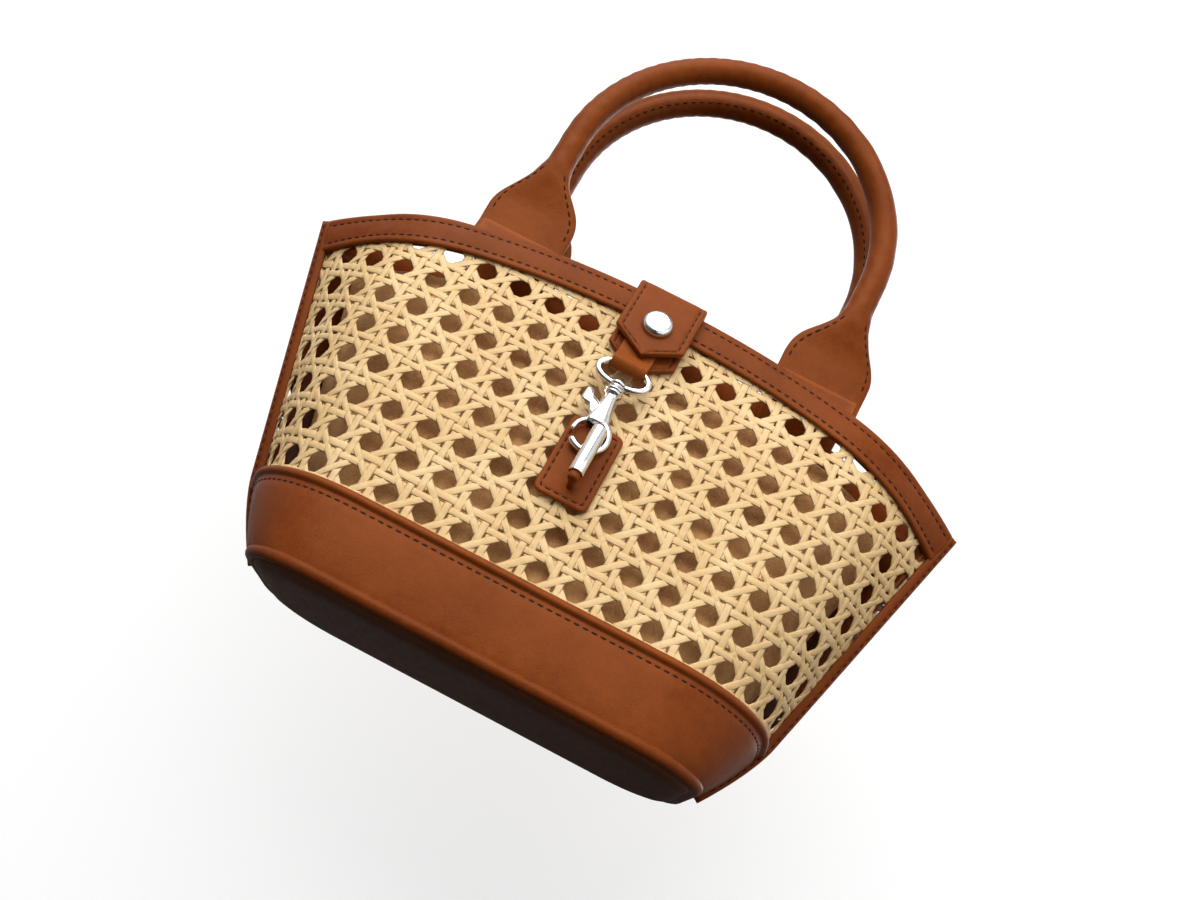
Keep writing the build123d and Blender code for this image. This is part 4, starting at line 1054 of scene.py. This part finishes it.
def patch_outline(inset, count=120):
    """Rounded rectangle of the catch patch, moved in by inset, as x and height."""
    w, lo, hi, r = 10.8 - inset, 69.5 + inset, 104.5 - inset, max(0.4, 3.0 - inset)
    corners = [(-0.3 + w - r, hi - r, 0), (-0.3 - w + r, hi - r, 90),
               (-0.3 - w + r, lo + r, 180), (-0.3 + w - r, lo + r, 270)]
    points = []
    for cx, cz, start in corners:
        for t in np.radians(start + np.linspace(0, 90, 10)):
            points.append((cx + r * np.cos(t), cz + r * np.sin(t)))
    points = np.array(points + points[:1])
    length = path_lengths(points)
    return sampled(np.linspace(0, length[-1], count, endpoint=False), length, points)


def patch():
    """Pad of two layers: rings of the outline, stepped out over the edge and in over the top, with a
    groove for the stitches."""
    rings = []
    for inset, out in ((0.6, 0.05), (0.1, 0.5), (0.0, 1.2), (0.15, 2.0), (0.6, 2.45), (1.3, 2.5), (1.9, 2.42),
                       (2.3, 2.2), (2.7, 2.42), (3.6, 2.55), (6.0, 2.6), (9.5, 2.6)):
        xz = patch_outline(inset)
        rings.append(np.stack([xz[:, 0], -half_depth(xz[:, 1]) - out, xz[:, 1]], -1))
    return lofted("catch_pad", np.stack(rings))


finish(patch(), SADDLE, nodes=["catch_patch"])
xz = patch_outline(2.3, 300)
xz = np.concatenate([xz, xz[:1]])
path = np.stack([xz[:, 0], -half_depth(xz[:, 1]) - 2.35, xz[:, 1]], -1)
finish(stitch_row("catch_pad_stitches", path, np.array([tilt(v)[1] for v in xz[:, 1]])), THREAD)


# ------------------------------------------------------------------ swivel clasp and tube
CLASP_ORIGIN = np.array([-1.8, -33.76, 132.3])
CLASP_UP = np.array([0.0, 0.184701, 0.982795])
CLASP_OUT = np.array([0.0, -0.982795, 0.184701])
HOOK_V, HOOK_RADIUS = -34.9, 6.8


def clasp_point(u, v, w):
    """Place clasp coordinates: u across, v up the clasp from the bar, w out of its face."""
    u, v, w = np.broadcast_arrays(np.asarray(u, float), v, w)
    return (CLASP_ORIGIN + u[..., None] * np.array([1.0, 0.0, 0.0]) + v[..., None] * CLASP_UP
            + w[..., None] * CLASP_OUT)


def hook_arc(start, end, count):
    """Points round the hook's bow between two angles in degrees."""
    a = np.radians(np.linspace(start, end, count))
    return clasp_point(HOOK_RADIUS * np.cos(a), HOOK_V + HOOK_RADIUS * np.sin(a), 0.0)


def turned(name, profile, sides=40):
    """Solid of revolution about the clasp's long axis from (v, radius) pairs."""
    a = np.linspace(0, 2 * np.pi, sides, endpoint=False)
    v, r = np.array(profile).T
    return lofted(name, clasp_point(r[:, None] * np.cos(a), v[:, None] + 0 * a, r[:, None] * np.sin(a)))


def ball_ended(radius, count, ease=4):
    """Radii along a bar whose two ends close like balls."""
    t = np.sqrt(1 - (1 - (np.arange(ease) + 0.35) / ease) ** 2)
    return np.r_[radius * t, np.full(count - 2 * ease, radius), radius * t[::-1]]


a = np.linspace(0, 2 * np.pi, 120, endpoint=False)
bow = clasp_point(10.2 * powered(np.cos(a), 0.92), -5.1 + 5.1 * powered(np.sin(a), 0.92), 0.0)
eye = tube("swivel_eye_ring", bow, 1.4, 18, around=CLASP_OUT, closed=True)
finish(eye, CHROME, "eye", nodes=["clasp_eye"])
finish(turned("swivel_eye_foot", [
    (-8.6, 0.4), (-8.6, 1.7), (-8.9, 2.5), (-9.5, 3.05), (-10.2, 3.2), (-10.7, 3.0), (-10.95, 2.6),
    (-11.15, 2.55), (-11.3, 3.0), (-11.65, 3.25), (-12.0, 3.15), (-12.2, 2.7), (-12.2, 0.5)]), CHROME, "eye")


def clasp_shank():
    """Collars and tapered body: rows down the clasp, each a superellipse whose left side is cut by
    the lever's slot once below the neck."""
    rows = [(-12.55, 1.9, 1.9), (-12.6, 3.1, 3.1), (-12.85, 3.5, 3.5), (-13.3, 3.65, 3.65),
            (-13.75, 3.45, 3.45), (-13.95, 3.05, 3.05), (-14.15, 3.05, 3.05), (-14.35, 3.4, 3.4),
            (-14.75, 3.55, 3.55), (-15.15, 3.35, 3.35), (-15.4, 2.9, 2.9), (-15.7, 2.5, 2.45),
            (-16.6, 2.35, 2.3), (-18.4, 2.45, 2.3), (-18.8, 2.5, 2.3), (-19.2, 2.55, 2.3), (-21.0, 2.85, 2.35),
            (-23.0, 3.2, 2.45), (-25.0, 3.7, 2.55), (-27.0, 4.25, 2.6), (-28.6, 4.6, 2.55), (-29.4, 4.6, 2.4),
            (-29.8, 4.35, 2.1)]
    t = np.linspace(np.pi - 0.55, -np.pi + 0.55, 41)
    grid = []
    for v, wide, thick in rows:
        power = 0.86 if v < -18 else 1.0
        u, w = wide * powered(np.cos(t), power), thick * powered(np.sin(t), power)
        cut = np.clip((-18.6 - v) / 0.4, 0, 1)
        depth = np.where(cut > 0, -wide * 0.9 + (0.8 + wide * 0.9) * cut, -wide)
        lip = 1.45 if cut > 0 else 0.4
        back_u = np.array([u[-1], depth * 0.5 + u[-1] * 0.5, depth, depth, depth * 0.5 + u[0] * 0.5, u[0]])
        back_w = np.array([-lip, -lip, -lip, lip, lip, lip])
        grid.append(clasp_point(np.r_[u, back_u], v, np.r_[w, back_w]))
    grid = np.array(grid)
    rows, columns = grid.shape[:2]
    ends = [range(columns), range((rows - 1) * columns, rows * columns)]
    faces = list(grid_faces(rows, columns, wrap_columns=True)) + ends
    return settle(make("swivel_body", grid.reshape(-1, 3), faces))


finish(clasp_shank(), CHROME, "hook", nodes=["clasp_body"])
r = ball_ended(1.4, 70)
r[:18] = np.linspace(2.1, 1.4, 18)
finish(tube("swivel_claw", hook_arc(68, -146, 70), r, 18, around=CLASP_OUT), CHROME, "hook")
finish(tube("gate_wire", hook_arc(117, 188, 30), ball_ended(0.95, 30), 16, around=CLASP_OUT), CHROME, "lever",
       nodes=["clasp_lever"])


def gate_plate():
    """Lever and thumb tab: a hooked outline with eased corners, its two faces bevelled."""
    outline = rounded([(0.3, -22.6), (-2.4, -20.6), (-5.0, -19.6), (-6.3, -18.9), (-6.9, -16.9), (-8.3, -16.2),
                       (-9.6, -17.0), (-9.7, -19.6), (-9.9, -22.3), (-8.0, -23.2), (-5.6, -23.6), (-4.6, -26.0),
                       (-3.4, -28.2), (-2.0, -28.4), (-0.6, -25.4)], 0.7, 4)
    middle = outline.mean(0)
    grid = []
    for w, grow in ((-1.15, 0.94), (-0.8, 1.0), (0.8, 1.0), (1.15, 0.94)):
        ring = middle + (outline - middle) * grow
        grid.append(clasp_point(ring[:, 0], ring[:, 1], w))
    return lofted("gate_lever", np.array(grid))


finish(gate_plate(), CHROME, "lever")

TUBE_MIDDLE = 87.9
tube_up, tube_out = tilt(TUBE_MIDDLE)
tube_centre = np.array([1.0, -half_depth(TUBE_MIDDLE), TUBE_MIDDLE]) + tube_out * 10.4


def about_tube(profile, sides=36):
    """Grid of a profile of (height, radius) pairs turned about the tube's axis."""
    a = np.linspace(0, 2 * np.pi, sides, endpoint=False)
    t, r = np.array(profile, float).T
    spread = np.cos(a)[None, :, None] * np.array([1.0, 0, 0]) + np.sin(a)[None, :, None] * tube_out
    return tube_centre + t[:, None, None] * tube_up + r[:, None, None] * spread


def catch_sleeve():
    """Open metal sleeve: a thin wall with rounded lips, turned about its axis."""
    grid = about_tube([(-10.2, 2.35), (-10.45, 2.5), (-10.55, 2.72), (-10.45, 2.93), (-10.15, 3.0), (-5, 3.0),
                       (5, 3.0), (10.15, 3.0), (10.45, 2.93), (10.55, 2.72), (10.45, 2.5), (10.2, 2.35)])
    return settle(make("catch_sleeve", grid.reshape(-1, 3), grid_faces(*grid.shape[:2], True, True)))


finish(catch_sleeve(), CHROME, nodes=["catch_tube"])
for name, profile in (
        ("catch_strap_end", [(-13.4, 0.3), (-13.5, 1.6), (-13.2, 2.05), (-12.6, 2.2), (-9.0, 2.2), (-8.9, 0.3)]),
        ("catch_strap_head", [(9.2, 0.3), (9.3, 2.2), (10.6, 2.2), (11.1, 1.9), (11.3, 0.3)])):
    finish(lofted(name, about_tube(profile)), TRIM)

# ------------------------------------------------------------------ finish the CAD nodes that stay
KEPT = (
    (BOARD, "base_board"),
    (SADDLE, "front_handle_root_left front_handle_root_right rear_handle_root_left rear_handle_root_right"),
    (SADDLE, "clasp_loop"), (CHROME, "snap_cap snap_socket snap_stud snap_washer clasp_pin"),
    (WIRE, "clasp_spring"), (TRIM, "catch_cord"),
)
for look, labels in KEPT:
    for label in labels.split():
        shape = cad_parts[label]
        shape.data.materials.clear()
        shape.data.materials.append(look)
